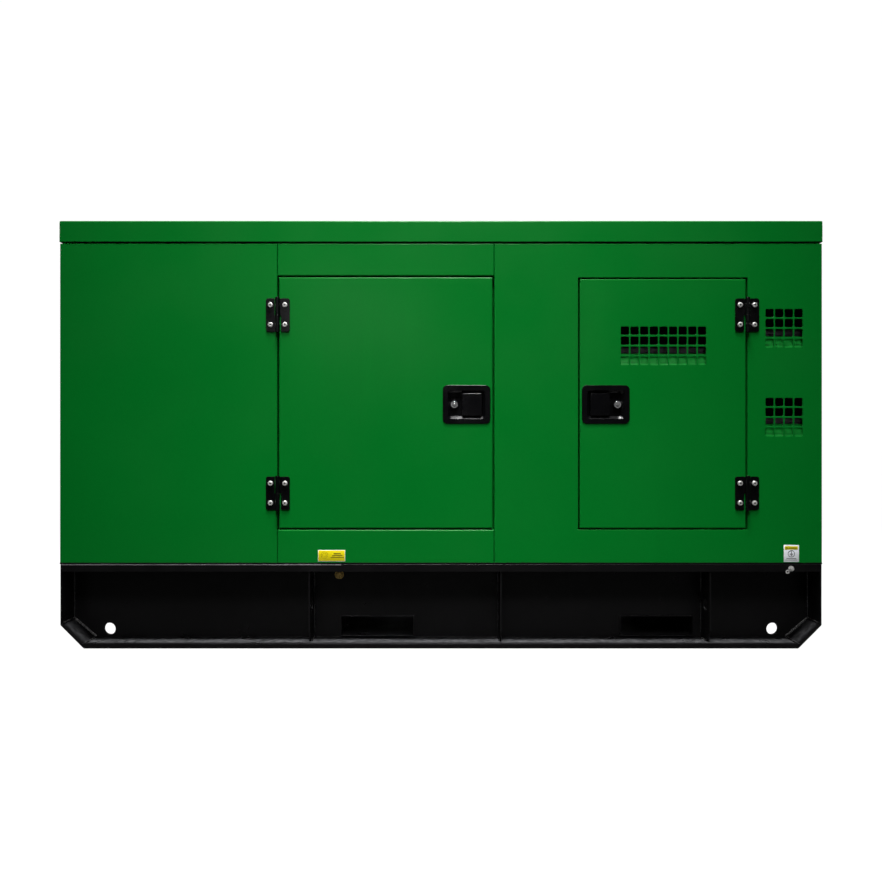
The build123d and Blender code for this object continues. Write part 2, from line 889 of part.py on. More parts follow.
def end_tray(end):
    """Folded tray closing one end; end is +1 at the generator, -1 at the radiator."""
    outer = end * canopy_half_length
    inner = end * (canopy_half_length - panel_return)
    half = end_panel_half_width
    block((outer, -half, body_bottom), (inner, half, body_top))
    face = faces(Select.LAST).sort_by(Axis.X)[-1 if end == 1 else 0]
    fillet(face.edges(), radius=bend_radius)
    block(
        (outer - end * sheet, sheet - half, body_bottom + sheet),
        (inner, half - sheet, body_top - sheet),
        Mode.SUBTRACT,
    )


with BuildPart() as radiator_end_panel:
    end_tray(-1)
save(radiator_end_panel, "radiator_end_panel")

# Air inlets in two fields, and the outlet for load cables below them.
with BuildPart() as generator_end_panel:
    end_tray(1)
    inlet_plane = Plane(
        origin=(canopy_half_length - sheet, 0, 0), x_dir=(0, 1, 0), z_dir=(1, 0, 0)
    )
    with BuildSketch(inlet_plane):
        for centre in inlet_vents:
            with Locations(centre):
                with GridLocations(vent_pitch_u, vent_pitch_z, *inlet_grid):
                    RectangleRounded(vent_hole, vent_hole, vent_corner)
        with Locations((0, cable_outlet_z)):
            RectangleRounded(*cable_outlet, cable_outlet_corner)
    extrude(amount=sheet, mode=Mode.SUBTRACT)
save(generator_end_panel, "generator_end_panel")

# --- Roof -------------------------------------------------------------------------------------

# Flat lid with a deep fascia and a turned-in lip, and the air discharge opening at one end.
with BuildPart() as roof:
    half_x = roof_length / 2
    half_y = roof_width / 2
    block((-half_x, -half_y, roof_underside), (half_x, half_y, overall_height))
    fillet(edges().filter_by(Axis.Z), radius=roof_corner)
    fillet(faces().sort_by(Axis.Z)[-1].edges(), radius=roof_edge)
    inner_half = (half_x - roof_sheet, half_y - roof_sheet)
    block(
        (-inner_half[0], -inner_half[1], roof_underside + roof_sheet),
        (*inner_half, overall_height - roof_sheet),
        Mode.SUBTRACT,
    )
    block(
        (roof_lip - half_x, roof_lip - half_y, roof_underside),
        (half_x - roof_lip, half_y - roof_lip, roof_underside + roof_sheet),
        Mode.SUBTRACT,
    )
    with BuildSketch(Plane.XY.offset(overall_height - roof_sheet)):
        with Locations(discharge_centre):
            RectangleRounded(*discharge_size, discharge_corner)
    extrude(amount=roof_sheet, mode=Mode.SUBTRACT)
save(roof, "roof")

# Slotted grille hung just below the roof skin, its rim under the edge of the opening.
with BuildPart() as roof_grille:
    grille_top = overall_height - roof_sheet
    with BuildSketch(Plane.XY.offset(grille_top - grille_thickness)):
        with Locations(discharge_centre):
            RectangleRounded(
                discharge_size[0] + 2 * grille_rim,
                discharge_size[1] + 2 * grille_rim,
                discharge_corner,
            )
            with GridLocations(*slot_pitch, *slot_grid):
                SlotOverall(*slot_size, mode=Mode.SUBTRACT)
    extrude(amount=grille_thickness)
save(roof_grille, "roof_grille")

# Rubber: the strip under the roof, set back from the faces, and one ring behind each door.
with BuildPart() as canopy_seals:
    with BuildSketch(Plane.XY.offset(body_top)):
        strip = (2 * (half_x - gasket_inset), 2 * (half_y - gasket_inset))
        Rectangle(*strip)
        Rectangle(strip[0] - 2 * gasket_width, strip[1] - 2 * gasket_width, mode=Mode.SUBTRACT)
    extrude(amount=roof_underside - body_top)
    for door in doors:
        wall_ring(
            door.side,
            (door.u_low, door.u_high),
            (door.z_low, door.z_high),
            (panel_return - seal_thickness, panel_return),
            seal_width,
        )
save(canopy_seals, "canopy_seals")

# --- Hinges: the half fixed to the canopy -----------------------------------------------------

with BuildPart() as hinge_leaves_fixed:
    for door in doors:
        for height in hinge_heights:
            leaf(door, height, -door.toward)
            knuckle(door, height, -knuckle_half, -knuckle_gap, -door.toward)
            barrel_y = wall_y(door.side, -(knuckle_stand_off + knuckle_radius))
            axis_x = door.side * hinge_axis_u(door)
            upright_cylinder(axis_x, barrel_y, height - knuckle_gap, height + pin_rise, pin_radius)
        hinge_holes(door, -door.toward, 0, leaf_thickness)
save(hinge_leaves_fixed, "hinge_leaves_fixed")

with BuildPart() as hinge_screws_fixed:
    for door in doors:
        screws(door, -door.toward)
save(hinge_screws_fixed, "hinge_screws_fixed")


# --- Doors, each with its hinge leaves, screws and latch --------------------------------------


def door_leaf_panel(door):
    """Folded door with its latch cut-out, bolt slot and, on the control door, the vent."""
    with BuildPart() as panel:
        tray(door.side, (door.u_low, door.u_high), (door.z_low, door.z_high), door_depth)
        hinge_holes(door, door.toward, sheet, sheet)
        wide = recess_size[0] / 2 + sheet
        high = recess_size[1] / 2 + sheet
        cut_z = (latch_height - high, latch_height + high)
        wall_block(door.side, latch_span(door, -wide, wide), cut_z, (0, sheet), Mode.SUBTRACT)
        slot_z = (
            latch_height - bolt_half_height - guide_clearance,
            latch_height + bolt_half_height + guide_clearance,
        )
        slot_inset = (bolt_inset[0] - guide_clearance, bolt_inset[1] + guide_clearance)
        slot_u = latch_span(door, latch_from_edge - sheet, latch_from_edge)
        wall_block(door.side, slot_u, slot_z, slot_inset, Mode.SUBTRACT)
        if door.vented:
            vent_hood(door.side, door_vent, door_vent_grid)
            cut_vents(door.side, door_vent, door_vent_grid)
    save(panel, f"{door.name}_door")


def door_hinge_leaves(door):
    """Upper halves of the lift-off hinges, bored to drop over the pins."""
    with BuildPart() as leaves:
        for height in hinge_heights:
            leaf(door, height, door.toward)
            knuckle(door, height, 0, knuckle_half, door.toward)
            barrel_y = wall_y(door.side, -(knuckle_stand_off + knuckle_radius))
            bore = pin_radius + pin_clearance
            axis_x = door.side * hinge_axis_u(door)
            upright_cylinder(axis_x, barrel_y, height, height + pin_bore_rise, bore, Mode.SUBTRACT)
        hinge_holes(door, door.toward, 0, leaf_thickness)
    save(leaves, f"{door.name}_hinge_leaves")


def door_screws(door):
    with BuildPart() as fasteners:
        screws(door, door.toward)
    save(fasteners, f"{door.name}_hinge_screws")


def dish_body(door, centre, wall, mode):
    """Dish with sloping sides and a flat floor, grown by the wall thickness."""
    mouth_size = [size + 2 * wall for size in recess_size]
    floor_size = [size - 2 * recess_draft for size in mouth_size]
    with BuildSketch(wall_plane(door.side, 0)) as mouth:
        with Locations(centre):
            RectangleRounded(*mouth_size, recess_corner + wall)
    with BuildSketch(wall_plane(door.side, recess_draft)) as waist:
        with Locations(centre):
            RectangleRounded(*floor_size, recess_floor_corner + wall)
    loft([mouth.sketch, waist.sketch], mode=mode)
    extrude(waist.sketch, amount=recess_draft - recess_depth - wall, mode=mode)


def latch_tray(door):
    """Flanged dish set into the door, with the lock boss, pivot holes and bolt guide."""
    centre = (latch_u(door), latch_height)
    lock_u = latch_u(door) + door.toward * lock_offset
    with BuildPart() as dish:
        with BuildSketch(wall_plane(door.side, 0)) as rim:
            with Locations(centre):
                RectangleRounded(*flange_size, flange_corner)
        extrude(rim.sketch, amount=flange_thickness)
        front = faces().sort_by(Axis.Y)[0 if door.side == 1 else -1]
        fillet(front.edges(), radius=flange_edge)
        dish_body(door, centre, sheet, Mode.ADD)
        dish_body(door, centre, 0, Mode.SUBTRACT)
        with BuildSketch(wall_plane(door.side, 0)) as mouth:
            with Locations(centre):
                RectangleRounded(*recess_size, recess_corner)
        extrude(mouth.sketch, amount=flange_thickness, mode=Mode.SUBTRACT)
        with BuildSketch(wall_plane(door.side, recess_depth)) as boss:
            with Locations((lock_u, latch_height)):
                Circle(boss_radius)
        extrude(boss.sketch, amount=recess_depth - boss_outer)
        with BuildSketch(wall_plane(door.side, recess_depth + sheet)) as bore:
            with Locations((lock_u, latch_height)):
                Circle(cylinder_radius + running_clearance)
        extrude(bore.sketch, amount=recess_depth + sheet, mode=Mode.SUBTRACT)
        pivot_x = door.side * (latch_u(door) + door.toward * pivot_offset)
        pivot_y = wall_y(door.side, pivot_inset)
        with Locations((pivot_x, pivot_y, latch_height)):
            Cylinder(
                pivot_radius + running_clearance, recess_size[1] + 2 * sheet, mode=Mode.SUBTRACT
            )
        guide_low = bolt_half_height + guide_clearance
        guide_high = guide_low + guide_wall
        guide_u = latch_span(door, *guide_offset)
        guide_inset = (recess_depth + sheet, strap_inset[1])
        for z in ((guide_low, guide_high), (-guide_high, -guide_low)):
            spans = (latch_height + z[0], latch_height + z[1])
            wall_block(door.side, guide_u, spans, guide_inset)
        strap_z = (latch_height - guide_high, latch_height + guide_high)
        wall_block(door.side, guide_u, strap_z, strap_inset)
    save(dish, f"{door.name}_latch_tray")


def latch_paddle(door):
    """Pull paddle with its cheeks and pivot pin."""
    with BuildPart() as paddle:
        ends = latch_span(door, *paddle_ends)
        back = paddle_outer + paddle_thickness
        with BuildSketch(wall_plane(door.side, back)) as face:
            with Locations(((ends[0] + ends[1]) / 2, latch_height)):
                RectangleRounded(ends[1] - ends[0], paddle_height, paddle_corner)
        extrude(face.sketch, amount=paddle_thickness)
        outer = faces().sort_by(Axis.Y)[0 if door.side == 1 else -1]
        fillet(outer.edges(), radius=paddle_edge)
        half = paddle_height / 2
        cheek_u = latch_span(door, paddle_cheek_start, pivot_offset + pivot_radius)
        cheek_top = half - paddle_cheek_inset
        for z in ((cheek_top - paddle_cheek, cheek_top), (-cheek_top, paddle_cheek - cheek_top)):
            cheek_z = (latch_height + z[0], latch_height + z[1])
            wall_block(door.side, cheek_u, cheek_z, (back, paddle_cheek_depth))
        pivot_x = door.side * (latch_u(door) + door.toward * pivot_offset)
        with Locations((pivot_x, wall_y(door.side, pivot_inset), latch_height)):
            Cylinder(pivot_radius, 2 * pivot_half_length)
    save(paddle, f"{door.name}_latch_paddle")


def lock_cylinder(door):
    """Key cylinder whose crank pin throws the bolt."""
    lock_u = latch_u(door) + door.toward * lock_offset
    spot = (lock_u, latch_height)
    with BuildPart() as lock:
        with BuildSketch(wall_plane(door.side, crank_inset[0])) as plug:
            with Locations(spot):
                Circle(cylinder_radius)
        extrude(plug.sketch, amount=crank_inset[0] - cylinder_outer)
        with BuildSketch(wall_plane(door.side, cylinder_outer)) as slot:
            with Locations(spot):
                Rectangle(keyway[0], keyway[1])
        extrude(slot.sketch, amount=-keyway[2], mode=Mode.SUBTRACT)
        with BuildSketch(wall_plane(door.side, crank_inset[1])) as crank:
            with Locations(spot):
                Circle(crank_radius)
        extrude(crank.sketch, amount=crank_inset[1] - crank_inset[0])
        swing = crank_throw * sin(radians(45))
        with BuildSketch(wall_plane(door.side, crank_pin_end)) as pin:
            with Locations((lock_u - door.toward * swing, latch_height + swing)):
                Circle(crank_pin_radius)
        extrude(pin.sketch, amount=crank_pin_end - crank_inset[1])
    save(lock, f"{door.name}_lock_cylinder")


def lock_bolt(door):
    """Sliding bar with a yoke over the crank pin, drawn back inside the door."""
    swing = crank_throw * sin(radians(45))
    with BuildPart() as bar:
        bar_z = (latch_height - bolt_half_height, latch_height + bolt_half_height)
        wall_block(door.side, latch_span(door, bolt_tail, bolt_nose), bar_z, bolt_inset)
        yoke_z = (latch_height - bolt_half_height, latch_height + yoke_top)
        wall_block(door.side, latch_span(door, bolt_tail, yoke_end), yoke_z, bolt_inset)
        slot_u = latch_u(door) + door.toward * (lock_offset - swing)
        with BuildSketch(wall_plane(door.side, bolt_inset[1])) as slot:
            with Locations((slot_u, latch_height + yoke_slot_height)):
                Rectangle(*yoke_slot)
        extrude(slot.sketch, amount=bolt_inset[1] - bolt_inset[0], mode=Mode.SUBTRACT)
    save(bar, f"{door.name}_lock_bolt")


for door in doors:
    door_leaf_panel(door)
    door_hinge_leaves(door)
    door_screws(door)
    latch_tray(door)
    latch_paddle(door)
    lock_cylinder(door)
    lock_bolt(door)

# --- Engine -----------------------------------------------------------------------------------

with BuildPart() as engine_block:
    block(block_low, block_high)
    block(sump_low, sump_high)
    chamfer(faces().sort_by(Axis.Z)[0].edges(), length=sump_chamfer)
    block(head_low, head_high)
    with BuildSketch(Plane(origin=(timing_high[0], 0, 0), x_dir=(0, -1, 0), z_dir=(-1, 0, 0))):
        with Locations((0, (timing_low[2] + timing_high[2]) / 2)):
            RectangleRounded(
                timing_high[1] - timing_low[1], timing_high[2] - timing_low[2], timing_corner
            )
    extrude(amount=timing_high[0] - timing_low[0])
    block(intake_low, intake_high)
    shaft(bell_start, bell_end, 0, shaft_z, bell_radius)
    fillet(faces().sort_by(Axis.X)[-1].edges(), radius=bell_edge)
    shaft(bell_start + bell_wall, bell_end, 0, shaft_z, generator_cavity, Mode.SUBTRACT)
    shaft(bell_start + bell_wall, bell_end - bell_wall, 0, shaft_z, bell_cavity, Mode.SUBTRACT)
    # Feet down to the rubber mounts.
    foot_top = foot_bottom + foot_thickness
    for side in (-1, 1):
        for x in (mount_points[0][0], mount_points[1][0]):
            block(
                (x - foot_width / 2, side * foot_post[0], foot_bottom),
                (x + foot_width / 2, side * foot_reach, foot_top),
            )
        x = mount_points[0][0]
        block(
            (x - foot_width / 2, side * foot_post[0], foot_bottom),
            (x + foot_width / 2, side * foot_post[1], foot_post_top),
        )
        x = mount_points[1][0]
        block(
            (x - foot_width / 2 + bell_wall, side * bell_foot[0], foot_bottom),
            (x + foot_width / 2 - bell_wall, side * bell_foot[1], bell_foot[2]),
        )
    # Oil filter and starter motor.
    with Locations(filter_centre):
        Cylinder(filter_radius, filter_length)
    block(
        (filter_centre[0] - filter_radius, filter_centre[1], filter_centre[2]),
        (filter_centre[0] + filter_radius, 0, filter_centre[2] + filter_length / 2),
    )
    shaft(
        starter_centre[0] - starter_length,
        bell_start + bell_wall,
        starter_centre[1],
        starter_centre[2],
        starter_radius,
    )
    # Clear again everything that turns inside the block and the bell housing.
    shaft(bell_start + bell_wall, bell_end - bell_wall, 0, shaft_z, bell_cavity, Mode.SUBTRACT)
    block(crankcase_low, crankcase_high, Mode.SUBTRACT)
    bore = shaft_radius + running_clearance
    shaft(timing_low[0], bell_start + bell_wall, 0, shaft_z, bore, Mode.SUBTRACT)
    fan_bore = fan_shaft_radius + running_clearance
    shaft(timing_low[0], fan_shaft_end, 0, fan_z, fan_bore, Mode.SUBTRACT)
save(engine_block, "engine_block")

with BuildPart() as rocker_cover:
    block(cover_low, cover_high)
    fillet(edges().filter_by(Axis.Z), radius=cover_fillet)
    fillet(faces().sort_by(Axis.Z)[-1].edges(), radius=cover_fillet)
    upright_cylinder(oil_cap_x, 0, cover_high[2], cover_high[2] + oil_cap_height, oil_cap_radius)
save(rocker_cover, "rocker_cover")

# Crankshaft nose and pulley, flywheel and the generator's rotor turn as one.
with BuildPart() as rotating_line:
    pulley(0, shaft_z, crank_pulley_radius)
    shaft(pulley_x[1], rotor_x[0], 0, shaft_z, shaft_radius)
    shaft(*flywheel_x, 0, shaft_z, flywheel_radius)
    shaft(*rotor_x, 0, shaft_z, rotor_radius)
    rotor_length = rotor_x[1] - rotor_x[0]
    pole_pitch = 360 / rotor_poles
    for pole in range(rotor_poles):
        turn = pole_pitch * (pole + 1 / 2)
        gap_y = rotor_radius * cos(radians(turn))
        gap_z = shaft_z + rotor_radius * sin(radians(turn))
        with Locations(Location((rotor_x[0] + rotor_length / 2, gap_y, gap_z), (turn, 0, 0))):
            Box(rotor_length, rotor_pole_gap[1], rotor_pole_gap[0], mode=Mode.SUBTRACT)
    shaft(rotor_x[1], tail_end, 0, shaft_z, tail_radius)
save(rotating_line, "rotating_line")

with BuildPart(Plane(origin=(fan_x, 0, fan_z), x_dir=(0, 1, 0), z_dir=(1, 0, 0))) as cooling_fan:
    Cylinder(fan_hub_radius, fan_hub_length)
    blade_length = fan_tip_radius - fan_hub_radius / 2
    with PolarLocations(fan_hub_radius / 2 + blade_length / 2, blade_count):
        Box(blade_length, blade_width, blade_thickness, rotation=(blade_pitch, 0, 0))
    tip = fan_tip_radius
    with BuildSketch(Plane.XY.offset(-blade_width)) as trim:
        Circle(2 * tip)
        Circle(tip, mode=Mode.SUBTRACT)
    extrude(trim.sketch, amount=2 * blade_width, mode=Mode.SUBTRACT)
    shaft_run = fan_shaft_end - fan_x
    with Locations((0, 0, shaft_run / 2)):
        Cylinder(fan_shaft_radius, shaft_run)
    pulley_middle = (pulley_x[0] + pulley_x[1]) / 2 - fan_x
    with Locations((0, 0, pulley_middle)):
        Cylinder(fan_pulley_radius, pulley_x[1] - pulley_x[0])
    with BuildSketch(Plane.XZ) as vee:
        with BuildLine():
            Polyline(
                (fan_pulley_radius, pulley_middle - belt_groove),
                (fan_pulley_radius, pulley_middle + belt_groove),
                (fan_pulley_radius - 2 * belt_groove, pulley_middle + belt_groove / 2),
                (fan_pulley_radius - 2 * belt_groove, pulley_middle - belt_groove / 2),
                close=True,
            )
        make_face()
    revolve(vee.sketch, axis=Axis.Z, mode=Mode.SUBTRACT)
save(cooling_fan, "cooling_fan")

with BuildPart() as charging_alternator:
    shaft(*charger_x, charger_y, charger_z, charger_radius)
    fillet(edges().filter_by(GeomType.CIRCLE), radius=charger_edge)
    block(*charger_bracket)
    bore = charger_shaft_radius + running_clearance
    bore_end = charger_x[0] + charger_bore_depth
    shaft(charger_x[0], bore_end, charger_y, charger_z, bore, Mode.SUBTRACT)
save(charging_alternator, "charging_alternator")

with BuildPart() as charger_pulley:
    pulley(charger_y, charger_z, charger_pulley_radius)
    charger_tip = charger_x[0] + charger_bore_depth - belt_groove
    shaft(pulley_x[1], charger_tip, charger_y, charger_z, charger_shaft_radius)
save(charger_pulley, "charger_pulley")

# --- Generator --------------------------------------------------------------------------------

with BuildPart() as generator_housing:
    shaft(*generator_x, 0, shaft_z, generator_radius)
    with BuildSketch(Plane(origin=(rib_span[0], 0, shaft_z), x_dir=(0, 1, 0), z_dir=(1, 0, 0))):
        with PolarLocations(generator_radius, generator_rib_count):
            Rectangle(generator_rib[1], generator_rib[0])
    extrude(amount=rib_span[1] - rib_span[0])
    block(terminal_low, terminal_high)
    block(
        (terminal_low[0] + terminal_sheet, terminal_low[1] + terminal_sheet, terminal_floor),
        tuple(high - terminal_sheet for high in terminal_high),
        Mode.SUBTRACT,
    )
    gland_z = (terminal_floor + terminal_high[2]) / 2
    gland_start = terminal_high[0] - terminal_floor_gap
    shaft(gland_start, terminal_high[0], 0, gland_z, gland_radius, Mode.SUBTRACT)
    foot = generator_foot
    for side in (-1, 1):
        block((foot[0], side * foot[2], foot_bottom), (foot[1], side * foot[3], foot[4]))
    inner_end = generator_x[1] - generator_wall
    shaft(generator_x[0], inner_end, 0, shaft_z, generator_cavity, Mode.SUBTRACT)
    tail_bore = tail_radius + running_clearance
    shaft(inner_end, generator_x[1], 0, shaft_z, tail_bore, Mode.SUBTRACT)
save(generator_housing, "generator_housing")

# Waisted rubber mounts with a steel plate at each end.
with BuildPart() as rubber_mounts:
    for x, y in mount_points:
        for side in (-1, 1):
            upright_cylinder(x, side * y, member_top, foot_bottom, mount_radius - mount_waist)
            upright_cylinder(x, side * y, member_top, member_top + mount_plate, mount_radius)
            upright_cylinder(x, side * y, foot_bottom - mount_plate, foot_bottom, mount_radius)
save(rubber_mounts, "rubber_mounts")

# --- Cooling ----------------------------------------------------------------------------------

with BuildPart() as radiator:
    block(core_low, core_high)
    for base in (core_low[2] - header_height, core_high[2]):
        block(
            (core_low[0] - header_over, core_low[1] - header_over, base),
            (core_high[0] + header_over, core_high[1] + header_over, base + header_height),
        )
        header = faces(Select.LAST).sort_by(Axis.Z)[0 if base < core_low[2] else -1]
        fillet(header.edges(), radius=header_fillet)
    for side in (-1, 1):
        block(
            (core_low[0], side * radiator_leg[0], member_top),
            (core_high[0], side * (radiator_leg[0] + radiator_leg[1]), core_low[2]),
        )
    middle = (core_low[0] + core_high[0]) / 2
    neck_base = core_high[2] + header_height
    upright_cylinder(middle, 0, neck_base, neck_base + filler_height, filler_radius)
save(radiator, "radiator")

# Bulkhead between the engine bay and the discharge chamber, and the fan ring on the radiator.
with BuildPart() as fan_shroud:
    block(
        (bulkhead_x[0], -bulkhead_half_width, body_bottom),
        (bulkhead_x[1], bulkhead_half_width, bulkhead_top),
    )
    core_middle = (core_low[2] + core_high[2]) / 2
    with Locations((bulkhead_x[0], 0, core_middle)):
        Box(member_width, *bulkhead_opening, mode=Mode.SUBTRACT)
    shaft(bulkhead_x[0], bulkhead_x[1], pipe_path[3][1], pipe_path[3][2], pipe_hole, Mode.SUBTRACT)
    for shell, mode in ((0, Mode.ADD), (shroud_sheet, Mode.SUBTRACT)):
        half_width = shroud_half[0] - shell
        half_height = shroud_half[1] - shell
        block(
            (shroud_x[0], -half_width, core_middle - half_height),
            (shroud_x[1] - shell, half_width, core_middle + half_height),
            mode,
        )
    shaft(shroud_x[1] - shroud_sheet, shroud_x[2], 0, fan_z, shroud_hole + shroud_sheet)
    shaft(shroud_x[1] - shroud_sheet, shroud_x[2], 0, fan_z, shroud_hole, Mode.SUBTRACT)
save(fan_shroud, "fan_shroud")

# --- Air and exhaust --------------------------------------------------------------------------

with BuildPart() as air_cleaner:
    shaft(*cleaner_x, cleaner_y, cleaner_z, cleaner_radius)
    fillet(edges().filter_by(GeomType.CIRCLE), radius=cleaner_edge)
    split_x = cleaner_x[1] - cleaner_cap_length
    shaft(split_x, split_x + cleaner_edge, cleaner_y, cleaner_z, cleaner_radius + cleaner_rib)
    tube_along(hose_path, hose_radius, hose_bend)
    block(*cleaner_bracket)
save(air_cleaner, "air_cleaner")

with BuildPart() as exhaust_system:
    block(manifold_low, manifold_high)
    fillet(edges().filter_by(Axis.X), radius=manifold_edge)
    tube_along(pipe_path, pipe_radius, pipe_bend)
    with Locations(silencer_centre):
        Cylinder(silencer_radius, 2 * silencer_half_length, rotation=(90, 0, 0))
    upright_cylinder(silencer_centre[0], outlet_y, silencer_centre[2], outlet_top, pipe_radius)
    with Locations(silencer_centre):
        Cylinder(
            silencer_radius - silencer_sheet,
            2 * (silencer_half_length - silencer_sheet),
            rotation=(90, 0, 0),
            mode=Mode.SUBTRACT,
        )
    pipe_bore = pipe_radius - silencer_sheet
    bore_foot = silencer_centre[2]
    upright_cylinder(silencer_centre[0], outlet_y, bore_foot, outlet_top, pipe_bore, Mode.SUBTRACT)
    for y in (-silencer_leg_y, silencer_leg_y):
        block(
            (silencer_centre[0] - silencer_leg[1] / 2, y - silencer_leg[0] / 2, member_top),
            (silencer_centre[0] + silencer_leg[1] / 2, y + silencer_leg[0] / 2, silencer_leg_top),
        )
save(exhaust_system, "exhaust_system")

# --- Battery and control cabinet --------------------------------------------------------------

with BuildPart() as battery:
    block(battery_low, battery_high)
    fillet(edges().filter_by(Axis.Z), radius=battery_edge)
    case_length = battery_high[0] - battery_low[0]
    case_width = battery_high[1] - battery_low[1]
    with BuildSketch(Plane.XY.offset(battery_high[2] - battery_lid)):
        with Locations((battery_low[0] + case_length / 2, battery_low[1] + case_width / 2)):
            Rectangle(case_length, case_width)
            Rectangle(case_length - battery_edge, case_width - battery_edge, mode=Mode.SUBTRACT)
    extrude(amount=-seam, mode=Mode.SUBTRACT)
    for x in (battery_low[0] + post_inset, battery_high[0] - post_inset):
        y = battery_low[1] + post_inset
        upright_cylinder(x, y, battery_high[2], battery_high[2] + post_height, post_radius)
save(battery, "battery")

# Cabinet behind the control door: instrument fascia above, switches and breaker below.
with BuildPart() as control_cabinet:
    block(cabinet_low, cabinet_high)
    fillet(faces().sort_by(Axis.Y)[0].edges(), radius=cabinet_edge)
    block(
        (cabinet_low[0] + cabinet_sheet, cabinet_low[1] + cabinet_sheet, cabinet_low[2]),
        tuple(high - cabinet_sheet for high in cabinet_high),
        Mode.SUBTRACT,
    )
    block(fascia_low, fascia_high)
    display_plane = Plane(origin=(0, fascia_low[1], 0), x_dir=(1, 0, 0), z_dir=(0, -1, 0))
    with BuildSketch(display_plane):
        with Locations(display_centre):
            RectangleRounded(*display_size, cabinet_edge)
    extrude(amount=-display_depth, mode=Mode.SUBTRACT)
    face_plane = Plane(origin=(0, cabinet_low[1], 0), x_dir=(1, 0, 0), z_dir=(0, -1, 0))
    with BuildSketch(face_plane):
        with Locations(breaker_centre):
            Rectangle(*breaker_size)
    extrude(amount=breaker_out)
    with BuildSketch(face_plane):
        with Locations(stop_position):
            Circle(stop_collar_radius)
    extrude(amount=stop_collar)
    with BuildSketch(face_plane.offset(stop_collar)):
        with Locations(stop_position):
            Circle(stop_stem_radius + running_clearance)
    extrude(amount=-(stop_stem_depth + stop_collar), mode=Mode.SUBTRACT)
    with BuildSketch(face_plane):
        with Locations(key_position):
            Circle(key_radius + running_clearance)
    extrude(amount=-key_depth, mode=Mode.SUBTRACT)
    with BuildSketch(face_plane.offset(breaker_out)):
        with Locations(breaker_centre):
            Rectangle(*lever_slot)
    extrude(amount=-lever_slot_depth, mode=Mode.SUBTRACT)
    lever_y = cabinet_low[1] - breaker_out + lever_pivot_inset
    with Locations((breaker_centre[0], lever_y, breaker_centre[1])):
        Cylinder(
            lever_pin_radius + running_clearance,
            lever_slot[0] + 2 * lever_pivot_inset,
            rotation=(0, 90, 0),
            mode=Mode.SUBTRACT,
        )
    for x in cabinet_post_x:
        half = cabinet_post[0] / 2
        block(
            (x - half, cabinet_high[1] - cabinet_post[1], member_top),
            (x + half, cabinet_high[1], cabinet_low[2] + cabinet_post_lap),
        )
save(control_cabinet, "control_cabinet")

with BuildPart() as emergency_stop:
    head_plane = face_plane.offset(stop_collar + stop_gap)
    with BuildSketch(head_plane):
        with Locations(stop_position):
            Circle(stop_radius)
    extrude(amount=stop_head)
    fillet(faces().sort_by(Axis.Y)[0].edges(), radius=stop_edge)
    with BuildSketch(head_plane):
        with Locations(stop_position):
            Circle(stop_stem_radius)
    extrude(amount=-(stop_gap + stop_collar + stop_stem_depth / 2))
save(emergency_stop, "emergency_stop")

with BuildPart() as key_switch:
    with BuildSketch(face_plane.offset(key_end_play - key_depth)):
        with Locations(key_position):
            Circle(key_radius)
    extrude(amount=key_depth - key_end_play + key_out)
    with BuildSketch(face_plane.offset(key_out)):
        with Locations(key_position):
            Rectangle(key_blade[0], key_blade[1])
    extrude(amount=key_blade[2])
save(key_switch, "key_switch")

with BuildPart() as breaker_lever:
    with Locations((breaker_centre[0], lever_y, breaker_centre[1])):
        Cylinder(lever_barrel_radius, lever_width, rotation=(0, 90, 0))
        pin_length = lever_slot[0] + 2 * lever_pivot_inset - lever_end_play
        Cylinder(lever_pin_radius, pin_length, rotation=(0, 90, 0))
    half_width = lever_width / 2
    half_thickness = lever_thickness / 2
    block(
        (breaker_centre[0] - half_width, lever_y - lever_length, breaker_centre[1] - half_thickness),
        (breaker_centre[0] + half_width, lever_y, breaker_centre[1] + half_thickness),
    )
save(breaker_lever, "breaker_lever")
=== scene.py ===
import math

import bmesh
import bpy
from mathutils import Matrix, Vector, noise


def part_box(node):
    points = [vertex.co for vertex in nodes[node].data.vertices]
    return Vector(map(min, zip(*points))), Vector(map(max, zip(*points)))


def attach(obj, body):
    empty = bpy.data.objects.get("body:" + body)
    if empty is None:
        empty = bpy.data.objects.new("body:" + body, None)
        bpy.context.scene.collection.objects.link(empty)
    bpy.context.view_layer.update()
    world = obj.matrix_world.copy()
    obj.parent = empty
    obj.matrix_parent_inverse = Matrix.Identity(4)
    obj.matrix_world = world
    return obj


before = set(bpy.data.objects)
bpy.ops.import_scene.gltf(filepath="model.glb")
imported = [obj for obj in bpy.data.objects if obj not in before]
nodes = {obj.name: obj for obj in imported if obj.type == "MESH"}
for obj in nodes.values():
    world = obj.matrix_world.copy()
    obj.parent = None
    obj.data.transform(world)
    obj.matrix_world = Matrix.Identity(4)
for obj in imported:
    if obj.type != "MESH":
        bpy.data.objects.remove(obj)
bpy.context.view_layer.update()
ROOT = "canopy_and_skid"

# Places that several pieces share, in metres. x runs along the set, the front is towards -y.
WALL_Y = 0.488
LINING_Y = 0.4865
PAD_FACE_Y = 0.462
WALL_FOOT_Z = 0.262
WALL_HEAD_Z = 1.208
END_X = 1.148
SHAFT_Z = 0.520
FAN_Z = 0.662

# ---------------- Materials. Every colour is linear RGB; every length is in metres.

GREEN = (0.0004, 0.150, 0.0150)
SKID = (0.0034, 0.0032, 0.0035)
BLACK = (0.0022, 0.0022, 0.0027)
# Convex edges are painted lighter by this gain and lift: partly wear, partly a painted highlight
# where folds catch the light.
EDGE_WEAR_AND_HIGHLIGHT_GAIN = 2.2
EDGE_WEAR_AND_HIGHLIGHT_LIFT = 0.02
ROUGH_DRIFT = 0.1


def add_node(tree, kind, **values):
    """New shader node. values are socket defaults, with _ for a space in the name."""
    node = tree.nodes.new("ShaderNode" + kind)
    for name, value in values.items():
        node.inputs[name.replace("_", " ")].default_value = value
    return node


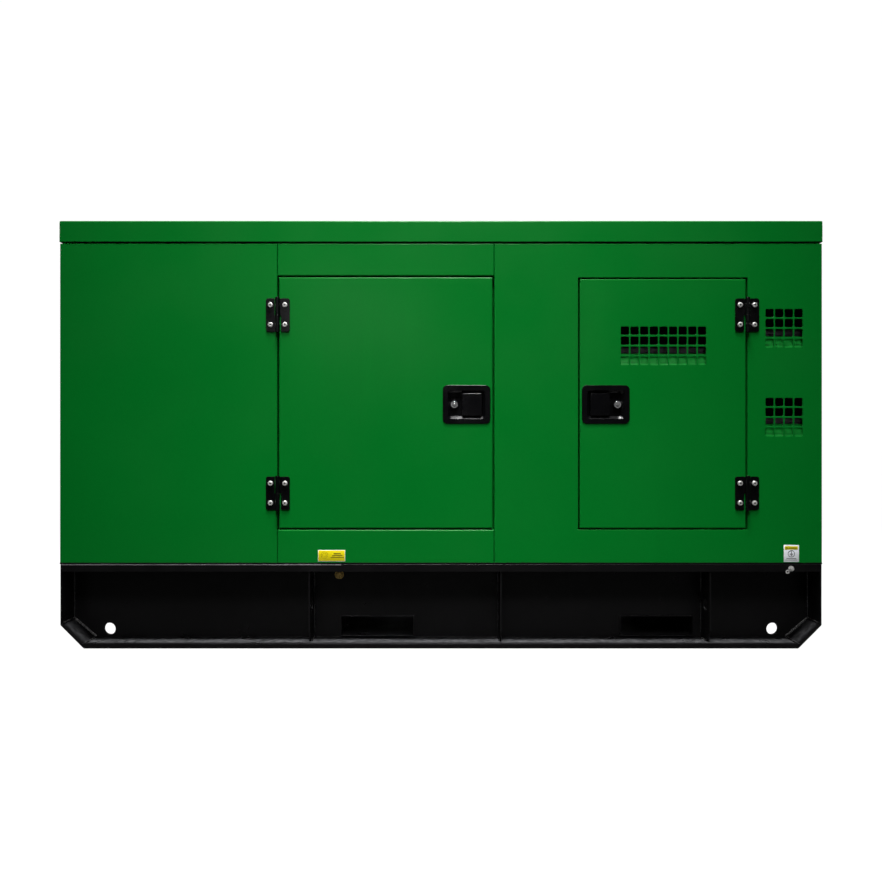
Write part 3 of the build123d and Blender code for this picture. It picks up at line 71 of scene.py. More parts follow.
def node_tree(name):
    """New material with only a Principled shader and an output."""
    mat = bpy.data.materials.new(name)
    mat.use_nodes = True
    tree = mat.node_tree
    tree.nodes.clear()
    out = add_node(tree, "OutputMaterial")
    shader = add_node(tree, "BsdfPrincipled")
    tree.links.new(shader.outputs[0], out.inputs[0])
    return mat, tree, shader


def math_node(tree, operation, a, b=0.0):
    node = add_node(tree, "Math")
    node.operation = operation
    for socket, value in zip(node.inputs, (a, b)):
        if isinstance(value, (int, float)):
            socket.default_value = value
        else:
            tree.links.new(value, socket)
    return node.outputs[0]


def times(tree, first, *rest):
    """Product of values."""
    for value in rest:
        first = math_node(tree, "MULTIPLY", first, value)
    return first


def noise_node(tree, coords, scale, detail=4.0, stretch=(1, 1, 1)):
    mapping = add_node(tree, "Mapping", Scale=stretch)
    tree.links.new(coords, mapping.inputs["Vector"])
    tex = add_node(tree, "TexNoise", Scale=scale, Detail=detail)
    tree.links.new(mapping.outputs[0], tex.inputs["Vector"])
    return tex.outputs["Fac"]


def ramp(tree, value, low, high, to_low=0.0, to_high=1.0):
    """to_low at low, to_high at high, clamped."""
    node = add_node(tree, "MapRange", From_Min=low, From_Max=high, To_Min=to_low, To_Max=to_high)
    tree.links.new(value, node.inputs["Value"])
    return node.outputs[0]


def mix(tree, factor, a, b, blend="MIX"):
    node = add_node(tree, "Mix")
    node.data_type = "RGBA"
    node.blend_type = blend
    for socket, value in ((node.inputs[0], factor), (node.inputs[6], a), (node.inputs[7], b)):
        if isinstance(value, (int, float)):
            socket.default_value = value
        elif isinstance(value, tuple):
            socket.default_value = (*value[:3], 1.0)
        else:
            tree.links.new(value, socket)
    return node.outputs[2]


def scaled(color, factor):
    """Colour times a factor, kept at or below 1."""
    return tuple(min(1.0, c * factor) for c in color)


def surface(
    name, color, rough=0.5, metal=0.0, spec=0.5, vary=0.12, patch=5.0, grain=500.0,
    bump=0.15, bump_depth=0.0002, dust=0.0, dust_color=(0.30, 0.29, 0.27), streak=0.0,
    edge=0.0008, coat=0.0, ring=None, speckle=0.0, edge_wear_and_highlight=0.0, crevice_shade=0.0,
    coat_rough=0.12, dust_and_light_band=None,
):
    """General finish: blotchy colour, fine grain bump, roughness drift, dust on upward faces (which
    can be kept to a band of |y| where light falls, as painted light), rounded-looking edges painted
    lighter as wear and painted highlight, and painted shade in crevices."""
    mat, tree, shader = node_tree(name)
    link = tree.links.new
    coords = add_node(tree, "TexCoord").outputs["Object"]
    blotch = noise_node(tree, coords, patch, 6.0)
    base = mix(tree, ramp(tree, blotch, 0.3, 0.7), scaled(color, 1 - vary), scaled(color, 1 + vary))
    if speckle:
        dots = ramp(tree, noise_node(tree, coords, 300.0, 2.0), 0.3, 0.7)
        tint = mix(tree, dots, (1 - speckle,) * 3, (1 + speckle,) * 3)
        base = mix(tree, 1.0, base, tint, "MULTIPLY")
    if streak:
        runs = noise_node(tree, coords, 9.0, 5.0, (1.0, 1.0, 0.12))
        smear = noise_node(tree, coords, 2.2, 3.0)
        amount = times(tree, ramp(tree, runs, 0.52, 0.75), ramp(tree, smear, 0.45, 0.7), streak)
        base = mix(tree, amount, base, scaled(color, 1.6))
    geometry = add_node(tree, "NewGeometry")
    if dust:
        up = add_node(tree, "SeparateXYZ")
        link(geometry.outputs["Normal"], up.inputs[0])
        facing = ramp(tree, up.outputs["Z"], 0.55, 0.97)
        specks = ramp(tree, noise_node(tree, coords, 60.0, 8.0), 0.25, 0.8)
        amount = times(tree, facing, specks, dust)
        # Painted light and shade: the dust can be kept to a band of |y|, pale where light falls on
        # the flange and dark near the web where shade falls.
        if dust_and_light_band:
            across = add_node(tree, "SeparateXYZ")
            link(coords, across.inputs[0])
            depth = math_node(tree, "ABSOLUTE", across.outputs["Y"])
            rise = ramp(tree, depth, *dust_and_light_band[:2])
            fall = ramp(tree, depth, *dust_and_light_band[2:])
            amount = times(tree, amount, times(tree, rise, fall))
        base = mix(tree, amount, base, dust_color)
    if ring:
        wave = add_node(tree, "TexWave", Scale=ring[1])
        wave.bands_direction = ring[0]
        link(coords, wave.inputs["Vector"])
        base = mix(tree, ramp(tree, wave.outputs["Fac"], 0.2, 0.8), scaled(color, ring[2]), base)
    soft = None
    if edge:
        soft = add_node(tree, "Bevel", Radius=edge)
        soft.samples = 4
    # Painted highlight with wear: convex edges mixed in patches towards a lighter copy of the colour.
    if edge_wear_and_highlight and edge:
        turn = add_node(tree, "VectorMath")
        turn.operation = "DOT_PRODUCT"
        link(soft.outputs[0], turn.inputs[0])
        link(geometry.outputs["True Normal"], turn.inputs[1])
        rim = ramp(tree, turn.outputs["Value"], 0.995, 0.90)
        rubbed = ramp(tree, noise_node(tree, coords, 40.0, 6.0), 0.25, 0.65)
        amount = times(tree, rim, rubbed, edge_wear_and_highlight)
        base = mix(tree, amount, base, tuple(min(1.0, c * EDGE_WEAR_AND_HIGHLIGHT_GAIN + EDGE_WEAR_AND_HIGHLIGHT_LIFT) for c in color))
    # Painted shade: the colour darkens towards black where ambient occlusion finds a crevice or
    # recess.
    if crevice_shade:
        hollow = add_node(tree, "AmbientOcclusion", Distance=crevice_shade)
        hollow.samples = 6
        shade = ramp(tree, hollow.outputs["AO"], 0.35, 0.85)
        base = mix(tree, shade, scaled(color, 0.04), base)
    link(base, shader.inputs["Base Color"])
    drift = ramp(tree, noise_node(tree, coords, patch * 3, 5.0), 0.3, 0.7)
    low, high = max(0.02, rough - ROUGH_DRIFT), min(1.0, rough + ROUGH_DRIFT)
    link(ramp(tree, drift, 0.0, 1.0, low, high), shader.inputs["Roughness"])
    for socket, value in (("Metallic", metal), ("Specular IOR Level", spec), ("Coat Weight", coat),
                          ("Coat Roughness", coat_rough)):
        shader.inputs[socket].default_value = value
    relief = add_node(tree, "Bump", Strength=bump, Distance=bump_depth)
    height = noise_node(tree, coords, grain, 3.0)
    if ring:
        height = math_node(tree, "ADD", height, wave.outputs["Fac"])
    link(height, relief.inputs["Height"])
    if soft:
        link(soft.outputs[0], relief.inputs["Normal"])
    link(relief.outputs[0], shader.inputs["Normal"])
    if coat and soft:
        link(soft.outputs[0], shader.inputs["Coat Normal"])
    return mat


PRINTED = dict(patch=60.0, grain=600.0, bump=0.05, edge=0.0)
LENS = dict(vary=0.1, patch=80.0, coat=0.8, bump=0.02)
MAT = {
    # Green: folds and edges painted lighter, partly wear and partly painted highlight.
    "green": surface(
        "canopy_green_coat", GREEN, 0.40, spec=0.08, vary=0.05, patch=1.6, grain=900.0, bump=0.2,
        bump_depth=0.00012, streak=0.12, dust=0.05, dust_color=(0.30, 0.38, 0.30), edge=0.0022,
        coat=0.14, coat_rough=0.20, speckle=0.035, edge_wear_and_highlight=0.35,
    ),
    # Skid: the pale band on the bottom flange is partly dust and partly painted light, with painted
    # shade towards the web; edges painted lighter as wear and painted highlight.
    "skid": surface(
        "skid_black_coat", SKID, 0.36, spec=0.19, vary=0.25, patch=4.0, grain=700.0, bump=0.3,
        bump_depth=0.0002, dust=0.42, dust_color=(0.33, 0.335, 0.35), streak=0.3, edge=0.0018,
        speckle=0.15, edge_wear_and_highlight=0.25, dust_and_light_band=(0.428, 0.440, 0.484, 0.470),
    ),
    # Latch: rounded edges painted lighter, partly wear and partly painted highlight.
    "latch": surface(
        "latch_black_coat", BLACK, 0.20, spec=0.34, vary=0.2, grain=1200.0, bump=0.12,
        bump_depth=0.0001, dust=0.03, edge=0.0012, speckle=0.1, edge_wear_and_highlight=0.10,
    ),
    # Steel, chrome and brass get painted shade in their sockets and crevices.
    "steel": surface(
        "zinc_plated_steel", (0.74, 0.73, 0.71), 0.34, metal=0.55, vary=0.12, patch=60.0,
        grain=1500.0, bump=0.2, bump_depth=0.0001, edge=0.0005, crevice_shade=0.005,
    ),
    "chrome": surface(
        "lock_chrome", (0.78, 0.78, 0.79), 0.18, metal=0.8, vary=0.08, patch=80.0, grain=2000.0,
        bump=0.08, bump_depth=0.0001, edge=0.0006, crevice_shade=0.006,
    ),
    "brass": surface(
        "drain_plug_brass", (0.50, 0.34, 0.10), 0.32, metal=0.6, vary=0.2, patch=70.0, grain=1500.0,
        bump=0.2, edge=0.0005, crevice_shade=0.006,
    ),
    "rubber": surface(
        "black_rubber", (0.013, 0.013, 0.013), 0.72, spec=0.25, vary=0.25, patch=12.0, grain=1500.0,
        bump=0.4, dust=0.15,
    ),
    "foam": surface(
        "sound_foam", (0.017, 0.017, 0.018), 0.95, spec=0.08, vary=0.35, patch=30.0, grain=260.0,
        bump=1.0, bump_depth=0.0015, edge=0.0, dust=0.05,
    ),
    "engine": surface(
        "engine_grey_paint", (0.085, 0.10, 0.115), 0.46, spec=0.4, vary=0.2, patch=9.0, grain=350.0,
        bump=0.5, bump_depth=0.0005, dust=0.22, streak=0.3,
    ),
    "cast": surface(
        "cast_aluminium", (0.48, 0.48, 0.47), 0.42, metal=0.85, vary=0.2, patch=25.0, grain=420.0,
        bump=0.6, bump_depth=0.0004, dust=0.15,
    ),
    "core": surface(
        "radiator_core", (0.016, 0.016, 0.017), 0.5, metal=0.3, vary=0.2, patch=14.0, grain=900.0,
        bump=0.9, bump_depth=0.002, ring=("Z", 110.0, 0.25), dust=0.1, edge=0.0,
    ),
    "generator": surface(
        "generator_dark_paint", (0.030, 0.036, 0.042), 0.40, spec=0.45, vary=0.2, patch=8.0,
        grain=420.0, bump=0.4, bump_depth=0.0004, dust=0.18,
    ),
    "exhaust": surface(
        "heat_resistant_paint", (0.20, 0.185, 0.165), 0.62, metal=0.5, vary=0.35, patch=10.0,
        grain=300.0, bump=0.5, bump_depth=0.0004, streak=0.3, dust=0.1,
    ),
    "plastic": surface(
        "moulded_black_plastic", (0.018, 0.018, 0.019), 0.48, spec=0.4, vary=0.15, patch=12.0,
        grain=1400.0, bump=0.35, dust=0.12,
    ),
    "red": surface(
        "red_button_plastic", (0.55, 0.012, 0.008), 0.30, vary=0.1, patch=30.0, grain=900.0,
        bump=0.1,
    ),
    "cabinet": surface(
        "cabinet_grey_coat", (0.40, 0.41, 0.40), 0.45, spec=0.4, vary=0.06, patch=5.0, grain=1100.0,
        bump=0.3, dust=0.1,
    ),
    "fascia": surface(
        "instrument_fascia", (0.028, 0.030, 0.034), 0.42, vary=0.1, patch=18.0, grain=1500.0,
        bump=0.2,
    ),
    "yellow": surface("label_yellow_film", (0.74, 0.62, 0.002), 0.35, vary=0.06, **PRINTED),
    "white": surface("label_white_film", (0.90, 0.93, 0.98), 0.35, vary=0.05, **PRINTED),
    "olive": surface("label_olive_print", (0.26, 0.22, 0.004), 0.4, vary=0.1, **PRINTED),
    "ink": surface("label_ink", (0.02, 0.02, 0.02), 0.45, vary=0.1, **PRINTED),
    "cable_red": surface(
        "red_cable_sheath", (0.42, 0.02, 0.015), 0.45, vary=0.1, patch=40.0, grain=900.0, bump=0.2,
        edge=0.0,
    ),
    "lamp": surface("lamp_lens", (0.02, 0.35, 0.06), 0.12, **LENS),
    "amber": surface("amber_lens", (0.75, 0.25, 0.01), 0.12, **LENS),
    "glass": surface(
        "display_glass", (0.012, 0.020, 0.018), 0.08, vary=0.2, patch=25.0, coat=1.0, bump=0.02,
        edge=0.0,
    ),
    # Seal rubber kept near black: painted shadow for the shadow line at the canopy's foot.
    "gasket": surface(
        "seal_rubber_painted_shadow", (0.0025, 0.0025, 0.0025), 0.85, spec=0.08, vary=0.3, patch=12.0,
        grain=1200.0, bump=0.3, edge=0.0,
    ),
    # Painted glint: light metallic grey for the lit top edge of the front rail.
    "rubbed": surface(
        "rail_edge_painted_glint", (0.13, 0.122, 0.132), 0.34, metal=0.3, vary=0.45, patch=7.0,
        grain=500.0, bump=0.5, bump_depth=0.0003, edge=0.0, speckle=0.3,
    ),
    "screen": surface(
        "display_segments", (0.30, 0.62, 0.42), 0.3, vary=0.1, patch=60.0, bump=0.02, edge=0.0,
    ),
    "bead": surface(
        "painted_weld", (0.006, 0.006, 0.0065), 0.24, spec=0.5, vary=0.35, patch=50.0, grain=600.0,
        bump=0.7, bump_depth=0.0006, edge=0.0, dust=0.2,
    ),
    # Slope weld beads: bare weld grey, with up-facing sides painted pale at 0.9 as a painted
    # highlight.
    "spatter": surface(
        "bare_weld_painted_glint", (0.045, 0.044, 0.044), 0.22, metal=0.3, spec=0.8, vary=0.6, patch=90.0,
        grain=600.0, bump=0.8, bump_depth=0.0008, edge=0.0, dust=0.9, dust_color=(0.42, 0.42, 0.42),
    ),
    "dark": surface(
        "inner_black_coat", (0.012, 0.012, 0.013), 0.55, spec=0.3, vary=0.2, patch=6.0, grain=600.0,
        bump=0.3, dust=0.2,
    ),
}

NODES_BY_LOOK = {
    "green": (
        "roof", "front_radiator_panel", "front_centre_frame", "front_generator_panel",
        "rear_radiator_panel", "rear_centre_frame", "rear_generator_panel", "radiator_end_panel",
        "generator_end_panel", "panel_vent_hoods",
    ),
    "skid": ("side_rails", "rail_stiffeners", "cross_members", "fork_pockets"),
    "dark": ("fuel_tank", "fan_shroud", "roof_grille"),
    "brass": ("oil_drain_plug",),
    "steel": ("earth_stud", "hinge_screws_fixed", "rotating_line", "charger_pulley"),
    "rubber": ("canopy_seals", "rubber_mounts"),
    "latch": ("hinge_leaves_fixed",),
    "engine": ("engine_block",),
    "cast": ("rocker_cover", "charging_alternator"),
    "generator": ("generator_housing",),
    "core": ("radiator",),
    "plastic": ("air_cleaner", "battery", "cooling_fan", "fuel_cap", "breaker_lever"),
    "exhaust": ("exhaust_system",),
    "cabinet": ("control_cabinet",),
    "red": ("emergency_stop",),
    "chrome": ("key_switch",),
}
DOOR_LOOKS = {
    "door": "green", "hinge_leaves": "latch", "hinge_screws": "steel", "latch_tray": "latch",
    "latch_paddle": "latch", "lock_cylinder": "chrome", "lock_bolt": "steel",
}
LOOKS = {node: look for look, names in NODES_BY_LOOK.items() for node in names}
for door in ("front_engine", "front_control", "rear_engine"):
    LOOKS.update({f"{door}_{part}": look for part, look in DOOR_LOOKS.items()})
for node, look in LOOKS.items():
    slots = nodes[node].data.materials
    slots.clear()
    slots.append(MAT[look])

# ---------------- Mesh helpers


SHARP_ANGLE = 35.0


def add_object(name, data):
    obj = bpy.data.objects.new(name, data)
    bpy.context.scene.collection.objects.link(obj)
    return obj


def place(name, bm, look, body=ROOT):
    """Turn a bmesh into a piece that rides on a CAD body. look is a name or a list of names."""
    bmesh.ops.recalc_face_normals(bm, faces=bm.faces[:])
    mesh = bpy.data.meshes.new(name)
    bm.to_mesh(mesh)
    bm.free()
    for key in (look if isinstance(look, (list, tuple)) else [look]):
        mesh.materials.append(MAT[key])
    mesh.shade_smooth()
    mesh.set_sharp_from_angle(angle=math.radians(SHARP_ANGLE))
    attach(add_object(name, mesh), body)


def add_box(bm, low, high, radius=0.001, segments=2, index=0):
    """Rounded block added to a mesh."""
    low, high = Vector(low), Vector(high)
    part = bmesh.new()
    bmesh.ops.create_cube(part, size=1.0)
    for v in part.verts:
        v.co = Vector([low[i] + (v.co[i] + 0.5) * (high[i] - low[i]) for i in range(3)])
    if radius:
        limit = min(high[i] - low[i] for i in range(3)) * 0.49
        bmesh.ops.bevel(
            part, geom=part.edges[:], offset=min(radius, limit), segments=segments, profile=0.5,
            affect="EDGES", clamp_overlap=True,
        )
    merge(bm, part, index)


def merge(bm, part, index=0):
    """Move a part's faces into bm, all with one material index."""
    for face in part.faces:
        face.material_index = index
    mesh = bpy.data.meshes.new("part")
    part.to_mesh(mesh)
    part.free()
    bm.from_mesh(mesh)
    bpy.data.meshes.remove(mesh)


def basis(axis):
    """Two unit vectors square to the axis, and the axis itself."""
    axis = Vector(axis).normalized()
    side = axis.orthogonal().normalized()
    return side, axis.cross(side), axis


def circle(radius, steps, phase=0.0):
    """Points round a circle; phase is a share of a step."""
    turns = (2 * math.pi * (k + phase) / steps for k in range(steps))
    return [(radius * math.cos(a), radius * math.sin(a)) for a in turns]


def bridge(bm, a, b):
    """Faces between two loops of points; a loop of one point makes a fan."""
    steps = max(len(a), len(b))
    for k in range(steps):
        n = (k + 1) % steps
        loop = [a[k % len(a)], a[n % len(a)], b[n % len(b)], b[k % len(b)]]
        loop = list(dict.fromkeys(loop))
        if len(loop) > 2:
            bm.faces.new(loop)


def add_lathe(bm, origin, axis, profile, steps=32, index=0):
    """Closed turned shape: profile is (radius, height along the axis) pairs."""
    side, up, axis = basis(axis)
    origin = Vector(origin)
    part = bmesh.new()
    rings = []
    looped = profile[0] == profile[-1] and profile[0][0] > 1e-6
    for radius, height in profile[:-1] if looped else profile:
        centre = origin + axis * height
        if radius < 1e-6:
            rings.append([part.verts.new(centre)])
            continue
        rings.append([part.verts.new(centre + side * c + up * s) for c, s in circle(radius, steps)])
    for a, b in zip(rings, rings[1:] + rings[:1] if looped else rings[1:]):
        bridge(part, a, b)
    if not looped:
        for ring in (rings[0], rings[-1]):
            if len(ring) > 2:
                part.faces.new(ring)
    merge(bm, part, index)


def add_knob(bm, origin, axis, outline, steps=32, index=0):
    """Turned shape with flat ends; outline leaves out its two points on the axis."""
    add_lathe(bm, origin, axis, [(0, 0), *outline, (0, outline[-1][1])], steps, index)


def add_band(bm, origin, axis, inner, outer, width, steps=32, index=0):
    """Flat ring or clamp band round an axis."""
    profile = [(inner, 0), (outer, 0), (outer, width), (inner, width), (inner, 0)]
    add_lathe(bm, origin, axis, profile, steps, index)


def smooth_path(points, rounds=3):
    """Chaikin corner cutting that keeps the ends."""
    points = [Vector(p) for p in points]
    for _ in range(rounds):
        cut = [points[0]]
        for a, b in zip(points, points[1:]):
            cut += [a.lerp(b, 0.25), a.lerp(b, 0.75)]
        points = cut + [points[-1]]
    return points


def add_tube(bm, points, radius, steps=12, rounds=3, swell=None):
    """Tube along a smoothed path. swell(distance) scales the radius, for ribs and ripples."""
    path = smooth_path(points, rounds) if rounds else [Vector(p) for p in points]
    part = bmesh.new()
    rings = []
    side = None
    travelled = 0.0
    for k, p in enumerate(path):
        tangent = (path[min(k + 1, len(path) - 1)] - path[max(k - 1, 0)]).normalized()
        if side is None:
            side = tangent.orthogonal().normalized()
        side = (side - tangent * side.dot(tangent)).normalized()
        up = tangent.cross(side)
        if k:
            travelled += (p - path[k - 1]).length
        r = radius * (swell(travelled) if swell else 1.0)
        rings.append([part.verts.new(p + side * c + up * s) for c, s in circle(r, steps)])
    for a, b in zip(rings, rings[1:]):
        bridge(part, a, b)
    part.faces.new(rings[0])
    part.faces.new(rings[-1])
    merge(bm, part)


def dense(a, b, step):
    """Evenly spaced points from a to b."""
    a, b = Vector(a), Vector(b)
    count = max(2, int((b - a).length / step))
    return [a.lerp(b, k / count) for k in range(count + 1)]


RIPPLE_PITCH = 0.006


def add_bead(bm, a, b, radius, seed):
    """Weld bead: overlapping ripples that wander slightly."""
    path = dense(a, b, RIPPLE_PITCH / 3)
    direction = (Vector(b) - Vector(a)).normalized()
    side = direction.orthogonal().normalized()
    wandering = [
        p + side * 0.0012 * noise.noise(Vector((seed * 7.3, k * 0.15, 0.0)))
        for k, p in enumerate(path)
    ]

    def ripple(t):
        wobble = 0.10 * noise.noise(Vector((t * 90.0, seed * 3.1, 1.0)))
        return 0.86 + 0.22 * abs(math.sin(math.pi * t / RIPPLE_PITCH)) + wobble

    add_tube(bm, wandering, radius, steps=8, rounds=0, swell=ripple)


def add_bolt(bm, origin, axis, radius=0.008, height=0.005, washer=0.0012):
    """Hexagon head with chamfered top; washer is the thickness of the washer under it, or 0."""
    if washer:
        rim = radius * 1.35
        add_knob(bm, origin, axis, [(rim, 0), (rim, washer)], 20)
    top = washer + height
    side = [(radius, washer), (radius, top - radius * 0.18), (radius * 0.84, top)]
    add_lathe(bm, origin, axis, [(0, washer), *side, (0, top)], 6)


def add_pad(bm, low, high, axis, quilt=0.004, cell=0.02, seed=0):
    """Foam board: a slab with pressed-down edges and a gently uneven face, along one axis.
    axis is (index, sign): the free face looks that way."""
    low, high = Vector(low), Vector(high)
    i, sign = axis
    j, k = [n for n in range(3) if n != i]
    nj = max(2, int((high[j] - low[j]) / cell))
    nk = max(2, int((high[k] - low[k]) / cell))
    face_at = high[i] if sign > 0 else low[i]
    back_at = low[i] if sign > 0 else high[i]
    part = bmesh.new()

    def vertex(a, b, back):
        p = Vector((0, 0, 0))
        p[j] = low[j] + (high[j] - low[j]) * a / nj
        p[k] = low[k] + (high[k] - low[k]) * b / nk
        if back:
            p[i] = back_at
            return part.verts.new(p)
        rim = min(a, nj - a, b, nk - b)
        sink = quilt * (1.0 if rim == 0 else 0.25 if rim == 1 else 0.0)
        rough = 0.0012 * (noise.noise(Vector((p[j] * 9 + seed, p[k] * 9, seed))) - 0.2)
        p[i] = face_at - sign * (sink - min(0.0, rough))
        return part.verts.new(p)

    front = [[vertex(a, b, False) for b in range(nk + 1)] for a in range(nj + 1)]
    rear = [[vertex(a, b, True) for b in range(nk + 1)] for a in range(nj + 1)]
    for a in range(nj):
        for b in range(nk):
            part.faces.new([front[a][b], front[a + 1][b], front[a + 1][b + 1], front[a][b + 1]])
            part.faces.new([rear[a][b], rear[a][b + 1], rear[a + 1][b + 1], rear[a + 1][b]])
    for a in range(nj):
        for b in (0, nk):
            part.faces.new([front[a][b], rear[a][b], rear[a + 1][b], front[a + 1][b]])
    for b in range(nk):
        for a in (0, nj):
            part.faces.new([front[a][b], front[a][b + 1], rear[a][b + 1], rear[a][b]])
    merge(bm, part)


# ---------------- Skid: weld beads, labels, earthing lug

rail_low, rail_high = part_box("side_rails")
WEB_BEAD_Y = 0.413
LIP_INSET = 0.006
CUT_BACK = 0.070
FLANGE_TOP_Z = 0.014
PLATE = 0.004
UNDER_TOP_FLANGE_Z = 0.248
STIFFENERS = (-0.397, 0.181, 0.811)
STIFFENER_FACE = 0.0032
STIFFENER_DEPTH_Y = 0.458
STIFFENER_WELDS = ((0.030, 0.120, 50), (0.160, 0.240, 60))
THIN_BEAD = 0.0030

bm = bmesh.new()
slope = bmesh.new()
seed = 0
for side in (-1, 1):
    y_web = side * WEB_BEAD_Y
    y_edge = side * (rail_high.y - LIP_INSET)
    for end in (-1, 1):
        seed += 1
        x_end = end * (rail_high.x - PLATE - 0.001)
        x_slope = end * (rail_high.x - CUT_BACK - 0.002)
        z_slope = CUT_BACK + PLATE * 1.2
        knee = (x_end, y_web, z_slope)
        toe = (x_slope, y_web, FLANGE_TOP_Z)
        top = (x_end, y_web, UNDER_TOP_FLANGE_Z)
        add_bead(bm, knee, (x_end, y_web, UNDER_TOP_FLANGE_Z - 0.002), 0.0036, seed=seed)
        add_bead(slope, knee, (x_slope, y_web, FLANGE_TOP_Z + 0.003), 0.0040, seed=seed + 10)
        add_bead(bm, knee, (x_end, y_edge, z_slope), THIN_BEAD, seed=seed + 20)
        add_bead(bm, toe, (x_slope, y_edge, FLANGE_TOP_Z), THIN_BEAD, seed=seed + 30)
        add_bead(bm, top, (x_end, y_edge, UNDER_TOP_FLANGE_Z), 0.0034, seed=seed + 40)
    for number, x in enumerate(STIFFENERS):
        for face in (-1, 1):
            xs = x + face * STIFFENER_FACE
            for low, high, first in STIFFENER_WELDS:
                add_bead(bm, (xs, y_web, low), (xs, y_web, high), THIN_BEAD, seed=number + first)
            add_bead(bm, (xs, y_web, FLANGE_TOP_Z), (xs, side * STIFFENER_DEPTH_Y, FLANGE_TOP_Z),
                     THIN_BEAD, seed=number + 70)
place("rail_weld_beads", bm, "bead")
place("corner_weld_beads", slope, "spatter")

FRONT = -WALL_Y


def add_plate(bm, centre, size, depth, index=0, radius=0.002):
    """Thin rounded plate on the front face, centre (x, z), size (x, z), depth (outer, inner) in y."""
    x, z = centre
    w, h = size
    add_box(bm, (x - w / 2, depth[0], z - h / 2), (x + w / 2, depth[1], z + h / 2), radius, 2, index)


def add_disc(bm, centre, radius, thickness, depth, index=0, hole=0.0):
    """Flat ring or disc on the front face."""
    origin = (centre[0], depth, centre[1])
    if hole:
        add_band(bm, origin, (0, -1, 0), hole, radius, thickness, 40, index)
        return
    add_knob(bm, origin, (0, -1, 0), [(radius, 0), (radius, thickness)], 40, index)


FILM = (FRONT - 0.0004, FRONT)
PRINT = (FRONT - 0.0006, FRONT - 0.0002)
OVERPRINT = (FRONT - 0.0008, FRONT - 0.0004)

# Yellow notice: white rim, yellow field, two plain rings and olive rules.
bm = bmesh.new()
notice_x, notice_z = -0.3295, 0.2785
rings_at = (notice_x - 0.0215, notice_z + 0.0020)
add_plate(bm, (notice_x, notice_z), (0.0820, 0.0345), FILM, 1)
add_plate(bm, (notice_x, notice_z), (0.0796, 0.0321), PRINT, 0, 0.0015)
for outer, inner in ((0.0105, 0.0096), (0.0062, 0.0055)):
    add_disc(bm, rings_at, outer, 0.0002, PRINT[0], 2, inner)
for row, width in enumerate((0.022, 0.032, 0.040)):
    centre = (notice_x + 0.0170, notice_z + 0.0065 - row * 0.0056)
    add_plate(bm, centre, (width, 0.0034), OVERPRINT, 2, 0.0005)
place("sill_notice_plate", bm, ["yellow", "white", "olive"])

# Earthing plate: white with a yellow head band and the plain earth symbol.
bm = bmesh.new()
earth_x, earth_z = 1.0548, 0.2855
band_z = earth_z + 0.0165
add_plate(bm, (earth_x, earth_z), (0.0460, 0.0515), FILM, 0, 0.0025)
add_plate(bm, (earth_x, band_z), (0.0395, 0.0105), PRINT, 1, 0.001)
add_plate(bm, (earth_x + 0.0040, band_z), (0.0250, 0.0034), OVERPRINT, 3, 0.0004)
add_disc(bm, (earth_x - 0.0140, band_z - 0.0005), 0.0030, 0.0003, PRINT[0], 2, 0.0014)
add_disc(bm, (earth_x, earth_z - 0.0010), 0.0104, 0.0003, FILM[0], 2, 0.0091)
add_plate(bm, (earth_x, earth_z + 0.0030), (0.0016, 0.0080), OVERPRINT, 2, 0.0003)
for row, width in enumerate((0.0110, 0.0072, 0.0032)):
    add_plate(bm, (earth_x, earth_z - 0.0016 - row * 0.0026), (width, 0.0015), OVERPRINT, 2, 0.0003)
for row, width in enumerate((0.0300, 0.0360)):
    add_plate(bm, (earth_x, earth_z - 0.0152 - row * 0.0046), (width, 0.0016), PRINT, 2, 0.0002)
place("earth_plate", bm, ["white", "yellow", "ink", "olive"])

# Near-black rubber strip between the canopy and the rails, all the way round: a seal, kept dark
# enough to paint the shadow line under the canopy as well.
bm = bmesh.new()
strip_low, strip_high = 0.2531, 0.2580
STRIP_INNER, STRIP_OUTER = 0.4870, 0.4887
for side in (-1, 1):
    ys = sorted((side * STRIP_INNER, side * STRIP_OUTER))
    add_box(bm, (-END_X, ys[0], strip_low), (END_X, ys[1], strip_high), 0.0006)
    xs = sorted((side * (END_X - 0.0010), side * (END_X + 0.0007)))
    add_box(bm, (xs[0], -STRIP_INNER, strip_low), (xs[1], STRIP_INNER, strip_high), 0.0006)
place("sill_seal_and_shadow_line", bm, "gasket")

# Length of the front rail's top edge painted light grey: a painted glint along the edge.
bm = bmesh.new()
rub_start = (-1.1420, rail_low.y - 0.0004, 0.2498)
rub_end = (-0.3000, rail_low.y + 0.0030, 0.2532)
add_box(bm, rub_start, rub_end, 0.0008)
place("rail_edge_glint", bm, "rubbed")

# Second washer of the earthing point, half under the first.
bm = bmesh.new()
stud_low, stud_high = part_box("earth_stud")
stud_x = (stud_low.x + stud_high.x) / 2
stud_z = (stud_low.z + stud_high.z) / 2
add_disc(bm, (stud_x - 0.0105, stud_z - 0.0090), 0.0060, 0.0012, rail_low.y, 0, 0.0024)
place("earth_lug", bm, "steel")

# ---------------- Foam linings

SILL_HEAD_Z = 0.345
ROOF_UNDER_Z = 1.283

